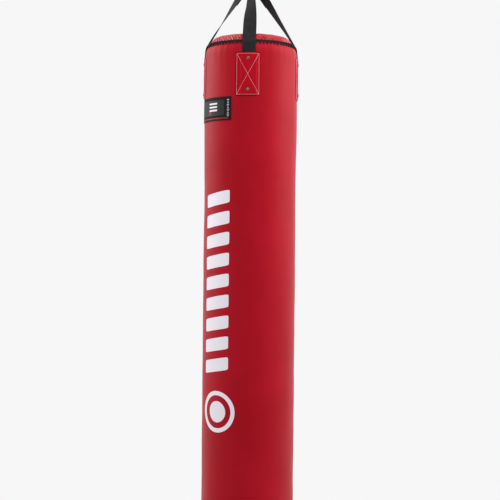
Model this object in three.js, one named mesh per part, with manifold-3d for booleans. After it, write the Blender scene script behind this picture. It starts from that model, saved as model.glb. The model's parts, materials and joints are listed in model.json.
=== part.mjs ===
// Heavy punching bag on four webbing straps. Millimetres, +Z up, front strap towards -Y.
// The origin is the point inside the top eye of the swivel where the hook above it bears.
import * as THREE from 'three';
import { mergeVertices } from 'three/addons/utils/BufferGeometryUtils.js';
import Module from 'manifold-3d';

// ---------- Driving dimensions ----------

// Bag: heights are measured from the lacing line, positive up.
const BAG_RADIUS = 177;
const BAG_DROP = 1798; // lacing line to the flat bottom
const SHOULDER_DROP = 43; // the shoulder curves in over this height
const SHOULDER_ARC = 75;
const BOTTOM_ARC = 45;
const BELLY = { size: 2, at: -284, spread: 110 };
const WAIST = { size: -1.2, at: -596, spread: 120 };
const VINYL = 1.8;
const GAP = 0.4; // between pieces that touch
const WELT_RADIUS = 3;
const BOTTOM_SEAM_ANGLE = 64; // degrees round the bottom curve, where the tube ends

// Top cover, gathered at the lacing line.
const COVER_EDGE_RADIUS = 163;
const COVER_HEIGHT = 40;

// Lacing: whip-stitched cord in a zigzag round the rim.
const LACE_CORD_RADIUS = 2.2;
const LACE_SWING = 3.4;
const LACE_OFFSET = 3.8; // cord centre outside the cover's edge
const RIM_SLOPE = 0.66; // outwards for each millimetre down, at the lacing
const LACE_STITCHES = 72;

// Filling.
const LINER = 14;
const LINER_GAP = 1.2;
const RIVET_RELIEF = 4.4; // the liner is thinner by this behind the rivets
const RIVET_RELIEF_DROP = 215;
const PAD_THICKNESS = 18;

// Webbing straps.
const STRAP_WIDTH = 50.8;
const STRAP_THICKNESS = 2.2;
const STRAP_TAIL = 74; // sewn back on itself below the loop
const STRAP_END_DROP = 199;
const STRAP_LIFT = 0.6; // off the vinyl, between their faces
const STRAP_LEAVES = 6; // degrees up the shoulder's curve, where the strap leaves it
const STRAP_EASE = 6.5; // it bends towards the rim's slope this far below the lacing
const LOOP_ROOM = 0.5; // between the D-ring's bar and the strap's loop
const CONVERGENCE = 259; // the straps' lines meet the axis here
const TWIST = { from: 17, to: 239 }; // heights between which a strap turns to face its D-ring
const STRAP_ANGLES = { front: -90, right: 5, back: 97, left: 182 };
const SEWN_ASIDE = { front: -1.2, right: -3.5, back: 0, left: 0 }; // degrees from strap to patch

// Reinforcing patches, rivets and label.
const PATCH = {
  width: 90, top: -47, bottom: -207, thickness: 1.5, lift: 0.8,
  overStrap: 2.8, beside: 1.5, slope: 1.6, // its rise over the strap, the room beside it, degrees of slope
};
const RIVET_DROPS = { upper: 68.5, lower: 185 };
const RIVET = { headRadius: 6.2, headHeight: 1.8, shankRadius: 2.5, holeRadius: 2.8, lift: 0.3, peen: 0.6 };
const WASHER = { radius: 9, bore: 2.9, thickness: 1.2 };
const LABEL = { from: -173.3, to: -111.3, top: -209, bottom: -298, thickness: 0.8, lift: 0.8 };

// Ring stack: the straight bars of the D-rings lie along one level direction.
const BAR_TURN = -58; // degrees from +X
const D_RING = { wire: 3, width: 60, height: 46, corner: 4, pitch: 6.8 };
const LOOP_SPACING = 13.8; // between neighbouring strap loops, across their bars

// Carabiner, measured from the middle of its lower bar.
const CARABINER = { wire: 5, lowerHalf: 24, lowerCorner: 11, topBow: 16, height: 105 };
const GATE = { bottom: 23, top: 71, pivot: 77, radius: 4.2, tongue: 3.4, slot: 4.2 };
const GATE_PIN_RADIUS = 1.5;

// Swivel.
const LOWER_EYE = { ring: 20, wire: 5 };
const TOP_EYE = { ring: 21.5, wire: 5.5 };
const HOUSING = { radius: 22, bore: 17, floor: 6, depth: 26, hole: 7.7, chamfer: 3 };
const SHANK = { radius: 7.2, below: 4 }; // its top is this far below the housing's rim
const COLLAR = { foot: 9, radius: 11, height: 3 };
const NECK = 5; // from the top of the lower eye to the housing
const RACE = { inner: 7.7, outer: 15.5, thickness: 2.8 };
const BALLS = { radius: 2, circle: 11.6, count: 8 };
const CAGE = { width: 5.2, height: 1.2 };
const NUT = { across: 24, height: 9 };
const CAP_THICKNESS = 8;
const METAL_GAP = 0.3;

// How finely round shapes are divided.
const BAG_SEGMENTS = 36;
const FILL_SEGMENTS = 24;
const SMALL_SEGMENTS = 20;
const WIRE_SIDES = 8;

// ---------- Heights worked out from the dimensions above ----------

const radians = THREE.MathUtils.degToRad;
const BOW_TO_EYE = CARABINER.wire + LOWER_EYE.wire + METAL_GAP;
const LOWER_EYE_CENTRE = CONVERGENCE + CARABINER.height - BOW_TO_EYE + LOWER_EYE.ring;
const HOUSING_BOTTOM = LOWER_EYE_CENTRE + LOWER_EYE.ring + LOWER_EYE.wire + NECK;
const HOUSING_TOP = HOUSING_BOTTOM + HOUSING.floor + HOUSING.depth;
const TOP_EYE_CENTRE = HOUSING_TOP + METAL_GAP + CAP_THICKNESS + TOP_EYE.ring - 2;
const LACING_DROP = TOP_EYE_CENTRE + TOP_EYE.ring - TOP_EYE.wire;

// A round wall drawn with flat facets is nearer the axis by this at a facet's middle.
const FACET_SAG = BAG_RADIUS * (1 - Math.cos(Math.PI / BAG_SEGMENTS));
const WASHER_DEPTH = VINYL + FACET_SAG + GAP; // bag's surface to the washer's outer face

// ---------- Solids and meshes ----------

const wasm = await Module();
wasm.setup();

const assembly = new THREE.Group();
assembly.name = 'heavy_bag';

const bag = new THREE.Group();
bag.position.z = -LACING_DROP;
assembly.add(bag);

const hardware = new THREE.Group();
hardware.position.z = -LACING_DROP;
hardware.rotation.z = radians(BAR_TURN);
assembly.add(hardware);

const FINISHES = {
  vinyl: { color: 0xa8102a, roughness: 0.42, metalness: 0 },
  patch: { color: 0xac001a, roughness: 0.38, metalness: 0 },
  webbing: { color: 0x2b2a2a, roughness: 0.85, metalness: 0 },
  lace: { color: 0x17151a, roughness: 0.8, metalness: 0 },
  label: { color: 0x1c1c1e, roughness: 0.7, metalness: 0 },
  foam: { color: 0x9b9b94, roughness: 0.95, metalness: 0 },
  fill: { color: 0x7d7468, roughness: 1, metalness: 0 },
  rivet: { color: 0xb9b2a6, roughness: 0.3, metalness: 1 },
  steel: { color: 0xb4b7ba, roughness: 0.28, metalness: 1 },
};

function place(name, geometry, finish, parent = bag) {
  const mesh = new THREE.Mesh(geometry, new THREE.MeshStandardMaterial(FINISHES[finish]));
  mesh.name = name;
  parent.add(mesh);
  return mesh;
}

function solid(geometry) {
  const bare = geometry.clone();
  bare.deleteAttribute('normal');
  bare.deleteAttribute('uv');
  const merged = mergeVertices(bare, 1e-4);
  return new wasm.Manifold(new wasm.Mesh({
    numProp: 3,
    vertProperties: merged.attributes.position.array,
    triVerts: new Uint32Array(merged.index.array),
  }));
}

function geometryOf(body) {
  const mesh = body.getMesh();
  const geometry = new THREE.BufferGeometry();
  geometry.setAttribute('position', new THREE.BufferAttribute(mesh.vertProperties, 3));
  geometry.setIndex(new THREE.BufferAttribute(mesh.triVerts, 1));
  return geometry;
}

function fromTriangles(points, triangles) {
  const geometry = new THREE.BufferGeometry().setFromPoints(points);
  geometry.setIndex(triangles);
  return geometry;
}

// A closed sheet of columns x rows points on each face; pointAt(column, row, side) has side -1 or 1.
function sheet(columns, rows, pointAt) {
  const points = [];
  for (const side of [-1, 1]) {
    for (let row = 0; row < rows; row += 1) {
      for (let column = 0; column < columns; column += 1) {
        points.push(pointAt(column, row, side));
      }
    }
  }
  const at = (column, row, side) => (side < 0 ? 0 : columns * rows) + row * columns + column;
  const triangles = [];
  const quad = (a, b, c, d) => triangles.push(a, b, c, a, c, d);
  for (let row = 0; row + 1 < rows; row += 1) {
    for (let column = 0; column + 1 < columns; column += 1) {
      const [c, r] = [column + 1, row + 1];
      quad(at(column, row, 1), at(c, row, 1), at(c, r, 1), at(column, r, 1));
      quad(at(column, row, -1), at(column, r, -1), at(c, r, -1), at(c, row, -1));
    }
    const last = columns - 1;
    quad(at(0, row, -1), at(0, row, 1), at(0, row + 1, 1), at(0, row + 1, -1));
    quad(at(last, row, 1), at(last, row, -1), at(last, row + 1, -1), at(last, row + 1, 1));
  }
  for (let column = 0; column + 1 < columns; column += 1) {
    const last = rows - 1;
    const c = column + 1;
    quad(at(column, 0, -1), at(c, 0, -1), at(c, 0, 1), at(column, 0, 1));
    quad(at(column, last, 1), at(c, last, 1), at(c, last, -1), at(column, last, -1));
  }
  return fromTriangles(points, triangles);
}

// A round wire whose centreline lies in the local XZ plane: a Vector2's y is the height.
function wire(centreline, radius, closed) {
  const count = centreline.length;
  const near = (i) => centreline[closed ? (i + count) % count : Math.min(Math.max(i, 0), count - 1)];
  const points = centreline.flatMap((middle, i) => {
    const along = new THREE.Vector2().subVectors(near(i + 1), near(i - 1)).normalize();
    const across = new THREE.Vector2(along.y, -along.x);
    return Array.from({ length: WIRE_SIDES }, (_, side) => {
      const turn = (2 * Math.PI * side) / WIRE_SIDES;
      const reach = radius * Math.cos(turn);
      return new THREE.Vector3(
        middle.x + across.x * reach,
        radius * Math.sin(turn),
        middle.y + across.y * reach,
      );
    });
  });
  const triangles = [];
  for (let i = 0; i < (closed ? count : count - 1); i += 1) {
    const next = (i + 1) % count;
    for (let side = 0; side < WIRE_SIDES; side += 1) {
      const other = (side + 1) % WIRE_SIDES;
      const [a, b] = [i * WIRE_SIDES + side, i * WIRE_SIDES + other];
      const [c, d] = [next * WIRE_SIDES + other, next * WIRE_SIDES + side];
      triangles.push(a, b, c, a, c, d);
    }
  }
  for (let side = 1; !closed && side + 1 < WIRE_SIDES; side += 1) {
    const end = (count - 1) * WIRE_SIDES;
    triangles.push(0, side + 1, side, end, end + side, end + side + 1);
  }
  return fromTriangles(points, triangles);
}

// A turned piece about +Z from [radius, height] pairs, in the order that makes its faces point out.
function turned(profile, segments = SMALL_SEGMENTS) {
  const geometry = new THREE.LatheGeometry(profile.map(([r, z]) => new THREE.Vector2(r, z)), segments);
  return geometry.rotateX(Math.PI / 2);
}

function tube(inner, outer, low, high, segments = SMALL_SEGMENTS) {
  return turned([[inner, low], [outer, low], [outer, high], [inner, high], [inner, low]], segments);
}

// A cylinder along the local radial direction of an azimuth, for rivets and their holes.
function radialPiece(geometry, azimuth, radius, height) {
  geometry.rotateY(Math.PI / 2);
  geometry.translate(radius, 0, height);
  return geometry.rotateZ(radians(azimuth));
}

// ---------- The bag's outline ----------

const bump = ({ size, at, spread }, z) => size * Math.exp(-(((z - at) / spread) ** 2));
const arcInset = (radius, reach) => radius - Math.sqrt(radius ** 2 - reach ** 2);

// Outside radius of the stuffed tube at a height below the lacing line.
function bagRadius(z) {
  const straight = BAG_RADIUS + bump(BELLY, z) + bump(WAIST, z);
  const intoShoulder = Math.max(0, z + SHOULDER_DROP);
  const intoBottom = Math.max(0, BOTTOM_ARC - BAG_DROP - z);
  return straight - arcInset(SHOULDER_ARC, intoShoulder) - arcInset(BOTTOM_ARC, intoBottom);
}

function tubeHeights() {
  const shoulder = [-0.5, -10, -20, -31, -SHOULDER_DROP];
  const belly = [-120, -200, -284, -370, -460, -596, -730];
  const straight = [-1100, -1450, BOTTOM_ARC - BAG_DROP];
  const bottom = [0.25, 0.5, 0.75, 1].map(
    (share) => BOTTOM_ARC - BAG_DROP - BOTTOM_ARC * Math.sin(radians(BOTTOM_SEAM_ANGLE * share)),
  );
  return [...shoulder, ...belly, ...straight, ...bottom];
}

// The outline moved inwards, square to itself.
function inset(outline, distance) {
  return outline.map(([r, z], i) => {
    const [fromR, fromZ] = outline[Math.max(i - 1, 0)];
    const [toR, toZ] = outline[Math.min(i + 1, outline.length - 1)];
    const length = Math.hypot(toR - fromR, toZ - fromZ);
    return [r + (distance * (toZ - fromZ)) / length, z - (distance * (toR - fromR)) / length];
  });
}

function skin(outline, thickness, segments) {
  const inside = inset(outline, thickness);
  return turned([...inside, ...outline.toReversed(), inside[0]], segments);
}

const tubeOutline = tubeHeights().map((z) => [bagRadius(z), z]);

// ---------- Vinyl, lacing and filling ----------

function rivetHoles(radius) {
  const holes = [];
  for (const [side, azimuth] of Object.entries(STRAP_ANGLES)) {
    for (const drop of Object.values(RIVET_DROPS)) {
      const drill = new THREE.CylinderGeometry(radius, radius, 30, 8);
      const turn = azimuth + SEWN_ASIDE[side];
      holes.push(solid(radialPiece(drill.rotateX(Math.PI / 2), turn, BAG_RADIUS, -drop)));
    }
  }
  return holes;
}

const drills = rivetHoles(RIVET.holeRadius);

function drilled(geometry) {
  return geometryOf(drills.reduce((body, drill) => body.subtract(drill), solid(geometry)));
}

function shellTube() {
  return drilled(skin(tubeOutline, VINYL, BAG_SEGMENTS));
}

function topCover() {
  const outline = [
    [0, COVER_HEIGHT], [60, COVER_HEIGHT - 1], [105, COVER_HEIGHT - 4.5], [130, 31],
    [141, 27], [149, 20], [155, 12], [COVER_EDGE_RADIUS - 3, 5], [COVER_EDGE_RADIUS - 1.2, 0.6],
  ];
  const inwards = (r) => (r > 0 ? r - VINYL * 0.8 : 0);
  const downwards = (z) => (z > 1 ? z - VINYL : z);
  const inside = outline.map(([r, z]) => [inwards(r), downwards(z)]);
  return turned([...inside, ...outline.toReversed()], BAG_SEGMENTS);
}

function bottomPanel() {
  const [seamRadius, seamHeight] = tubeOutline.at(-1);
  const rim = seamRadius - WELT_RADIUS * 1.6;
  const flat = rim - 9;
  const top = -BAG_DROP + VINYL;
  return turned([
    [0, -BAG_DROP], [flat, -BAG_DROP], [rim, seamHeight - 1.2],
    [rim - 1, seamHeight + 0.8], [flat, top], [0, top],
  ], BAG_SEGMENTS);
}

function bottomWelt() {
  const [seamRadius, seamHeight] = tubeOutline.at(-1);
  const middle = seamRadius - WELT_RADIUS * 0.45;
  const ring = new THREE.TorusGeometry(middle, WELT_RADIUS * 0.6, 6, BAG_SEGMENTS);
  return ring.translate(0, 0, seamHeight - WELT_RADIUS);
}

// The zigzag cord: a small round section carried once round the rim.
function lacing() {
  const sides = 5;
  const steps = LACE_STITCHES * 2;
  const points = [];
  for (let step = 0; step < steps; step += 1) {
    const azimuth = (2 * Math.PI * step) / steps;
    const height = step % 2 ? LACE_SWING : -LACE_SWING;
    for (let side = 0; side < sides; side += 1) {
      const turn = (2 * Math.PI * side) / sides;
      const middle = COVER_EDGE_RADIUS + LACE_OFFSET - RIM_SLOPE * height;
      const radius = middle + LACE_CORD_RADIUS * Math.cos(turn);
      const z = height + LACE_CORD_RADIUS * Math.sin(turn);
      points.push(new THREE.Vector3(radius * Math.cos(azimuth), radius * Math.sin(azimuth), z));
    }
  }
  const triangles = [];
  for (let step = 0; step < steps; step += 1) {
    const next = (step + 1) % steps;
    for (let side = 0; side < sides; side += 1) {
      const other = (side + 1) % sides;
      const [a, b] = [step * sides + side, step * sides + other];
      const [c, d] = [next * sides + other, next * sides + side];
      triangles.push(a, c, b, a, d, c);
    }
  }
  return fromTriangles(points, triangles);
}

const FILL_BOTTOM = -BAG_DROP + VINYL + GAP + PAD_THICKNESS + GAP;
const FILL_TOP = -20;

function liner() {
  const heights = [
    FILL_TOP, -SHOULDER_DROP, -120, -RIVET_RELIEF_DROP, -RIVET_RELIEF_DROP - 3,
    BELLY.at, WAIST.at, -1100, BOTTOM_ARC - BAG_DROP, FILL_BOTTOM,
  ];
  const relief = (z) => (z >= -RIVET_RELIEF_DROP ? RIVET_RELIEF - LINER_GAP : 0);
  const outline = inset(heights.map((z) => [bagRadius(z) - relief(z), z]), VINYL + LINER_GAP);
  const inside = outline.map(([r, z]) => [r - LINER, z]);
  return turned([...inside, ...outline.toReversed(), inside[0]], FILL_SEGMENTS);
}

function fillCore() {
  const heights = [
    FILL_TOP, -SHOULDER_DROP, -120, BELLY.at, WAIST.at, -1100, BOTTOM_ARC - BAG_DROP, FILL_BOTTOM,
  ];
  const outline = heights.map((z) => [bagRadius(z) - VINYL - 2 * GAP - RIVET_RELIEF - LINER, z]);
  return turned([[0, FILL_BOTTOM], ...outline.toReversed(), [0, FILL_TOP]], FILL_SEGMENTS);
}

function disc(radius, low, high) {
  return turned([[0, low], [radius, low], [radius, high], [0, high]], FILL_SEGMENTS);
}

// ---------- Straps ----------

const axes = {
  bar: new THREE.Vector3(Math.cos(radians(BAR_TURN)), Math.sin(radians(BAR_TURN)), 0),
  stack: new THREE.Vector3(-Math.sin(radians(BAR_TURN)), Math.cos(radians(BAR_TURN)), 0),
  up: new THREE.Vector3(0, 0, 1),
};
const RING_OVER_BAR = CARABINER.wire + D_RING.wire + METAL_GAP;
const RIM_NORMAL = Math.atan(RIM_SLOPE);
const RIM_RADIUS = COVER_EDGE_RADIUS + LACE_OFFSET
  + (LACE_CORD_RADIUS + GAP + STRAP_THICKNESS / 2) / Math.cos(RIM_NORMAL);
const LOOP_RADIUS = D_RING.wire + LOOP_ROOM + STRAP_THICKNESS / 2;

// Where each strap's D-ring hangs. Its rank is its place in the stack of four, -1.5 to 1.5.
function hangOf(azimuth) {
  const outward = new THREE.Vector3(Math.cos(radians(azimuth)), Math.sin(radians(azimuth)), 0);
  const tangent = new THREE.Vector3(-outward.y, outward.x, 0);
  const across = outward.dot(axes.stack);
  const rank = Math.sign(across) * (Math.abs(across) > Math.SQRT1_2 ? 1.5 : 0.5);
  const rim = outward.clone().multiplyScalar(RIM_RADIUS);
  // Seen along the stack, the rim point, the loop, the carabiner's bar and the ring's top are in line.
  const lean = Math.atan2(rim.dot(axes.bar), CONVERGENCE);
  const onLine = (below, aside) => axes.stack.clone().multiplyScalar(aside)
    .addScaledVector(axes.bar, below * Math.sin(lean))
    .setZ(CONVERGENCE - below * Math.cos(lean));
  const fall = Math.sqrt(D_RING.height ** 2 - (rank * (LOOP_SPACING - D_RING.pitch)) ** 2);
  const ringTop = onLine(-RING_OVER_BAR, rank * D_RING.pitch);
  const loop = onLine(fall - RING_OVER_BAR, rank * LOOP_SPACING);
  const wide = axes.bar.clone().multiplyScalar(Math.cos(lean));
  wide.addScaledVector(axes.up, Math.sin(lean));
  return { outward, tangent, rim, ringTop, loop, wide };
}

const smooth = (share) => THREE.MathUtils.smoothstep(share, 0, 1);

// The strap's stations: middle point, direction across, outward normal and how much it follows the bag.
function strapStations(azimuth) {
  const hang = hangOf(azimuth);
  const wide = hang.wide.clone().multiplyScalar(Math.sign(hang.wide.dot(hang.tangent)));
  const stations = [];
  const onBag = (radius, z, normalAngle) => {
    const normal = hang.outward.clone().multiplyScalar(Math.cos(normalAngle))
      .addScaledVector(axes.up, Math.sin(normalAngle));
    const middle = hang.outward.clone().multiplyScalar(radius).setZ(z);
    stations.push({ middle, across: hang.tangent, normal, curve: 1 / BAG_RADIUS });
  };
  const lift = STRAP_LIFT + STRAP_THICKNESS / 2;
  for (const z of [-STRAP_END_DROP, -150, -100, -SHOULDER_DROP]) {
    onBag(bagRadius(z) + lift, z, 0);
  }
  const leaves = radians(STRAP_LEAVES);
  const reach = SHOULDER_ARC + lift;
  const leaveRadius = BAG_RADIUS - SHOULDER_ARC + reach * Math.cos(leaves);
  onBag(leaveRadius, -SHOULDER_DROP + reach * Math.sin(leaves), leaves);
  onBag(RIM_RADIUS + STRAP_EASE * RIM_SLOPE, -STRAP_EASE, RIM_NORMAL * 0.6);
  onBag(RIM_RADIUS, 0, RIM_NORMAL);

  // Straight run from the rim to the loop, twisting on the way.
  const down = new THREE.Vector3().subVectors(hang.rim, hang.loop);
  down.addScaledVector(wide, -down.dot(wide)).normalize();
  const loopNormal = new THREE.Vector3().crossVectors(wide, down).normalize();
  loopNormal.multiplyScalar(Math.sign(loopNormal.dot(hang.outward)));
  const loopStart = hang.loop.clone().addScaledVector(loopNormal, LOOP_RADIUS);
  const run = new THREE.Vector3().subVectors(loopStart, hang.rim);
  const runStation = (share) => {
    const middle = hang.rim.clone().addScaledVector(run, share);
    const twist = smooth((middle.z - TWIST.from) / (TWIST.to - TWIST.from));
    const across = hang.tangent.clone().lerp(wide, twist);
    const direction = run.clone().normalize();
    across.addScaledVector(direction, -across.dot(direction)).normalize();
    const normal = new THREE.Vector3().crossVectors(across, direction).normalize();
    normal.multiplyScalar(Math.sign(normal.dot(hang.outward)));
    return { middle, across, normal, curve: (1 - smooth(middle.z / 50)) / BAG_RADIUS };
  };
  const runSteps = 13;
  for (let step = 1; step < runSteps; step += 1) {
    stations.push(runStation(step / runSteps));
  }

  for (const turn of [0, 36, 72, 108, 144, 180].map(radians)) {
    const normal = loopNormal.clone().multiplyScalar(Math.cos(turn));
    normal.addScaledVector(down, -Math.sin(turn));
    const middle = hang.loop.clone().addScaledVector(normal, LOOP_RADIUS);
    stations.push({ middle, across: wide, normal, curve: 0 });
  }

  // The tail lies along the inner side of the run.
  for (const back of [18, 30, 45, 60, STRAP_TAIL]) {
    const { middle, across, normal } = runStation(1 - back / run.length());
    const apart = STRAP_THICKNESS + GAP + (back < 20 ? 2 : 0);
    const tailMiddle = middle.clone().addScaledVector(normal, -apart);
    stations.push({ middle: tailMiddle, across, normal: normal.clone().negate(), curve: 0 });
  }
  return stations;
}

function strap(azimuth) {
  const stations = strapStations(azimuth);
  return sheet(3, stations.length, (column, row, side) => {
    const { middle, across, normal, curve } = stations[row];
    const aside = ((column - 1) * STRAP_WIDTH) / 2;
    const point = middle.clone().addScaledVector(across, aside);
    return point.addScaledVector(normal, (side * STRAP_THICKNESS) / 2 - (curve * aside ** 2) / 2);
  });
}

// ---------- Patches, rivets, washers and label ----------

// A cover over the strap's end: it lies on the bag at its edges and rises over the strap.
function patch(azimuth, sewnAside) {
  const half = THREE.MathUtils.radToDeg(PATCH.width / 2 / BAG_RADIUS);
  const overStrap = THREE.MathUtils.radToDeg((STRAP_WIDTH / 2 + PATCH.beside) / BAG_RADIUS);
  const foot = overStrap + PATCH.slope;
  const columns = [sewnAside - half, -foot, -overStrap, 0, overStrap, foot, sewnAside + half];
  const rows = [PATCH.bottom, -160, -120, -80, PATCH.top];
  return sheet(columns.length, rows.length, (column, row, side) => {
    const angle = radians(azimuth + columns[column]);
    const raised = Math.abs(columns[column]) <= overStrap + 0.01;
    const base = bagRadius(rows[row]) + PATCH.lift + (raised ? PATCH.overStrap : 0);
    const radius = base + (side > 0 ? PATCH.thickness : 0);
    return new THREE.Vector3(radius * Math.cos(angle), radius * Math.sin(angle), rows[row]);
  });
}

const patchOutside = (z) => bagRadius(z) + PATCH.lift + PATCH.overStrap + PATCH.thickness;

// A domed head outside the patch, a shank through every layer and a peened end inside.
function rivet(azimuth, drop) {
  const head = patchOutside(-drop) + RIVET.lift;
  const tail = BAG_RADIUS - WASHER_DEPTH - WASHER.thickness - RIVET.peen;
  const { headRadius, headHeight, shankRadius } = RIVET;
  const profile = [
    [0, tail], [shankRadius, tail], [shankRadius, head], [headRadius, head],
    [headRadius * 0.92, head + headHeight * 0.45], [headRadius * 0.6, head + headHeight * 0.85],
    [0, head + headHeight],
  ];
  return radialPiece(turned(profile, 10), azimuth, 0, -drop);
}

function washer(azimuth, drop) {
  const outer = bagRadius(-drop) - WASHER_DEPTH;
  const plate = tube(WASHER.bore, WASHER.radius, outer - WASHER.thickness, outer, 10);
  return radialPiece(plate, azimuth, 0, -drop);
}

function label() {
  const columns = 9;
  const rows = [LABEL.bottom, -270, -245, LABEL.top];
  return sheet(columns, rows.length, (column, row, side) => {
    const angle = radians(LABEL.from + ((LABEL.to - LABEL.from) * column) / (columns - 1));
    const radius = bagRadius(rows[row]) + LABEL.lift + (side > 0 ? LABEL.thickness : 0);
    return new THREE.Vector3(radius * Math.cos(angle), radius * Math.sin(angle), rows[row]);
  });
}

// ---------- D-rings, carabiner and swivel ----------

// Points along an arc, from one angle in degrees to another.
function arc(x, y, radius, from, to, steps) {
  return Array.from({ length: steps + 1 }, (_, step) => {
    const angle = radians(from + ((to - from) * step) / steps);
    return new THREE.Vector2(x + radius * Math.cos(angle), y + radius * Math.sin(angle));
  });
}

// A D-ring with its straight bar at the local origin and its bow towards +Z.
function dRingShape() {
  const half = D_RING.width / 2;
  const inner = half - D_RING.corner;
  return wire([
    ...arc(inner, D_RING.corner, D_RING.corner, -90, 0, 3),
    ...arc(0, D_RING.height - half, half, 0, 180, 12),
    ...arc(-inner, D_RING.corner, D_RING.corner, 180, 270, 3),
  ], D_RING.wire, true);
}

function dRing(azimuth) {
  const { loop, ringTop, wide } = hangOf(azimuth);
  const up = new THREE.Vector3().subVectors(ringTop, loop).normalize();
  const through = new THREE.Vector3().crossVectors(up, wide).normalize();
  const bar = new THREE.Vector3().crossVectors(through, up);
  const turn = new THREE.Matrix4().makeBasis(bar, through, up).setPosition(loop);
  return dRingShape().applyMatrix4(turn);
}

// The carabiner is drawn in the local XZ plane; acrossStack then turns it across the ring stack.
function carabinerPath() {
  const { lowerHalf, lowerCorner, topBow, height } = CARABINER;
  const inner = lowerHalf - lowerCorner;
  const side = (z) => THREE.MathUtils.mapLinear(z, lowerCorner, height - topBow, lowerHalf, topBow);
  const points = [
    new THREE.Vector2(-side(GATE.bottom - 0.6), GATE.bottom - 0.6),
    ...arc(-inner, lowerCorner, lowerCorner, 180, 270, 4),
    ...arc(inner, lowerCorner, lowerCorner, 270, 360, 4),
    ...arc(0, height - topBow, topBow, 0, 180, 10),
    new THREE.Vector2(-side(GATE.top + 3), GATE.top + 3),
  ];
  return { points, side };
}

const acrossStack = (geometry) => geometry.rotateZ(Math.PI / 2).translate(0, 0, CONVERGENCE);

function box(width, depth, height, x, y, z) {
  return new THREE.BoxGeometry(width, depth, height).translate(x, y, z);
}

function gatePin(radius, length) {
  const x = -carabinerPath().side(GATE.pivot);
  return new THREE.CylinderGeometry(radius, radius, length, 10).translate(x, 0, GATE.pivot);
}

function carabinerBody() {
  const { points, side } = carabinerPath();
  const slot = box(14, GATE.slot, 12, -side(GATE.pivot), 0, GATE.pivot - 1);
  const bore = solid(gatePin(GATE_PIN_RADIUS + 0.3, 20));
  const body = solid(wire(points, CARABINER.wire, false)).subtract(solid(slot)).subtract(bore);
  return acrossStack(geometryOf(body));
}

function carabinerGate() {
  const { side } = carabinerPath();
  const [low, high] = [GATE.bottom, GATE.top];
  const line = [new THREE.Vector2(-side(low), low), new THREE.Vector2(-side(high), high)];
  const tongueHeight = GATE.pivot - high + 6;
  const tongue = box(7, GATE.tongue, tongueHeight, -side(GATE.pivot), 0, (GATE.pivot + high) / 2);
  const bore = solid(gatePin(GATE_PIN_RADIUS + 0.3, 20));
  const bar = solid(wire(line, GATE.radius, false));
  const body = bar.add(solid(tongue)).subtract(bore);
  return acrossStack(geometryOf(body));
}

// An eye standing on the local X axis, with its hole along Y.
function eye({ ring, wire: radius }) {
  return new THREE.TorusGeometry(ring, radius, WIRE_SIDES, 24).rotateX(Math.PI / 2);
}

function swivelShank() {
  const ring = solid(eye(LOWER_EYE).translate(0, 0, LOWER_EYE_CENTRE));
  const low = LOWER_EYE_CENTRE + LOWER_EYE.ring;
  const high = HOUSING_TOP - SHANK.below;
  const shank = solid(turned([[0, low], [SHANK.radius, low], [SHANK.radius, high], [0, high]]));
  const collarTop = HOUSING_BOTTOM - METAL_GAP;
  const collar = solid(turned([
    [0, low], [COLLAR.foot, low], [COLLAR.radius, collarTop - COLLAR.height],
    [COLLAR.radius, collarTop], [0, collarTop],
  ]));
  return geometryOf(ring.add(shank).add(collar));
}

function swivelHousing() {
  const { radius, bore, floor, hole, chamfer } = HOUSING;
  const low = HOUSING_BOTTOM;
  return turned([
    [hole, low], [radius - chamfer, low], [radius, low + chamfer], [radius, HOUSING_TOP],
    [bore, HOUSING_TOP], [bore, low + floor], [hole, low + floor], [hole, low],
  ], 24);
}

function swivelTopEye() {
  const low = HOUSING_TOP + METAL_GAP;
  const cap = solid(turned([
    [0, low], [HOUSING.radius, low], [HOUSING.radius, low + CAP_THICKNESS - HOUSING.chamfer],
    [HOUSING.radius - HOUSING.chamfer, low + CAP_THICKNESS], [0, low + CAP_THICKNESS],
  ], 24));
  const ring = eye(TOP_EYE).translate(0, 0, TOP_EYE_CENTRE);
  return geometryOf(cap.add(solid(ring).trimByPlane([0, 0, 1], low + 1)));
}

const race = (low) => tube(RACE.inner, RACE.outer, low, low + RACE.thickness);

// The balls stand in a thin cage ring, so that the set is one piece.
function ballSet(low) {
  const middle = low + BALLS.radius;
  const [inner, outer] = [BALLS.circle - CAGE.width / 2, BALLS.circle + CAGE.width / 2];
  let body = solid(tube(inner, outer, middle - CAGE.height / 2, middle + CAGE.height / 2));
  for (let ball = 0; ball < BALLS.count; ball += 1) {
    const sphere = new THREE.SphereGeometry(BALLS.radius, 6, 4).translate(BALLS.circle, 0, middle);
    body = body.add(solid(sphere.rotateZ((2 * Math.PI * ball) / BALLS.count)));
  }
  return geometryOf(body);
}

function lockNut(low) {
  const corner = NUT.across / 2 / Math.cos(Math.PI / 6);
  const bore = SHANK.radius + METAL_GAP;
  const hexagon = solid(new THREE.CylinderGeometry(corner, corner, NUT.height, 6));
  const hole = solid(new THREE.CylinderGeometry(bore, bore, 2 * NUT.height, SMALL_SEGMENTS));
  const nut = geometryOf(hexagon.subtract(hole)).rotateX(Math.PI / 2);
  return nut.translate(0, 0, low + NUT.height / 2);
}

// ---------- Assembly ----------

function addBag() {
  place('shell_tube', shellTube(), 'vinyl');
  place('top_cover', topCover(), 'vinyl');
  place('bottom_panel', bottomPanel(), 'vinyl');
  place('bottom_welt', bottomWelt(), 'vinyl');
  place('rim_lacing', lacing(), 'lace');
  place('foam_liner', liner(), 'foam');
  place('fill_core', fillCore(), 'fill');
  place('top_pad', disc(140, FILL_TOP + GAP, FILL_TOP + GAP + PAD_THICKNESS), 'foam');
  place('bottom_pad', disc(136, -BAG_DROP + VINYL + GAP, FILL_BOTTOM - GAP), 'foam');
  place('side_label', label(), 'label');
}

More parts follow.
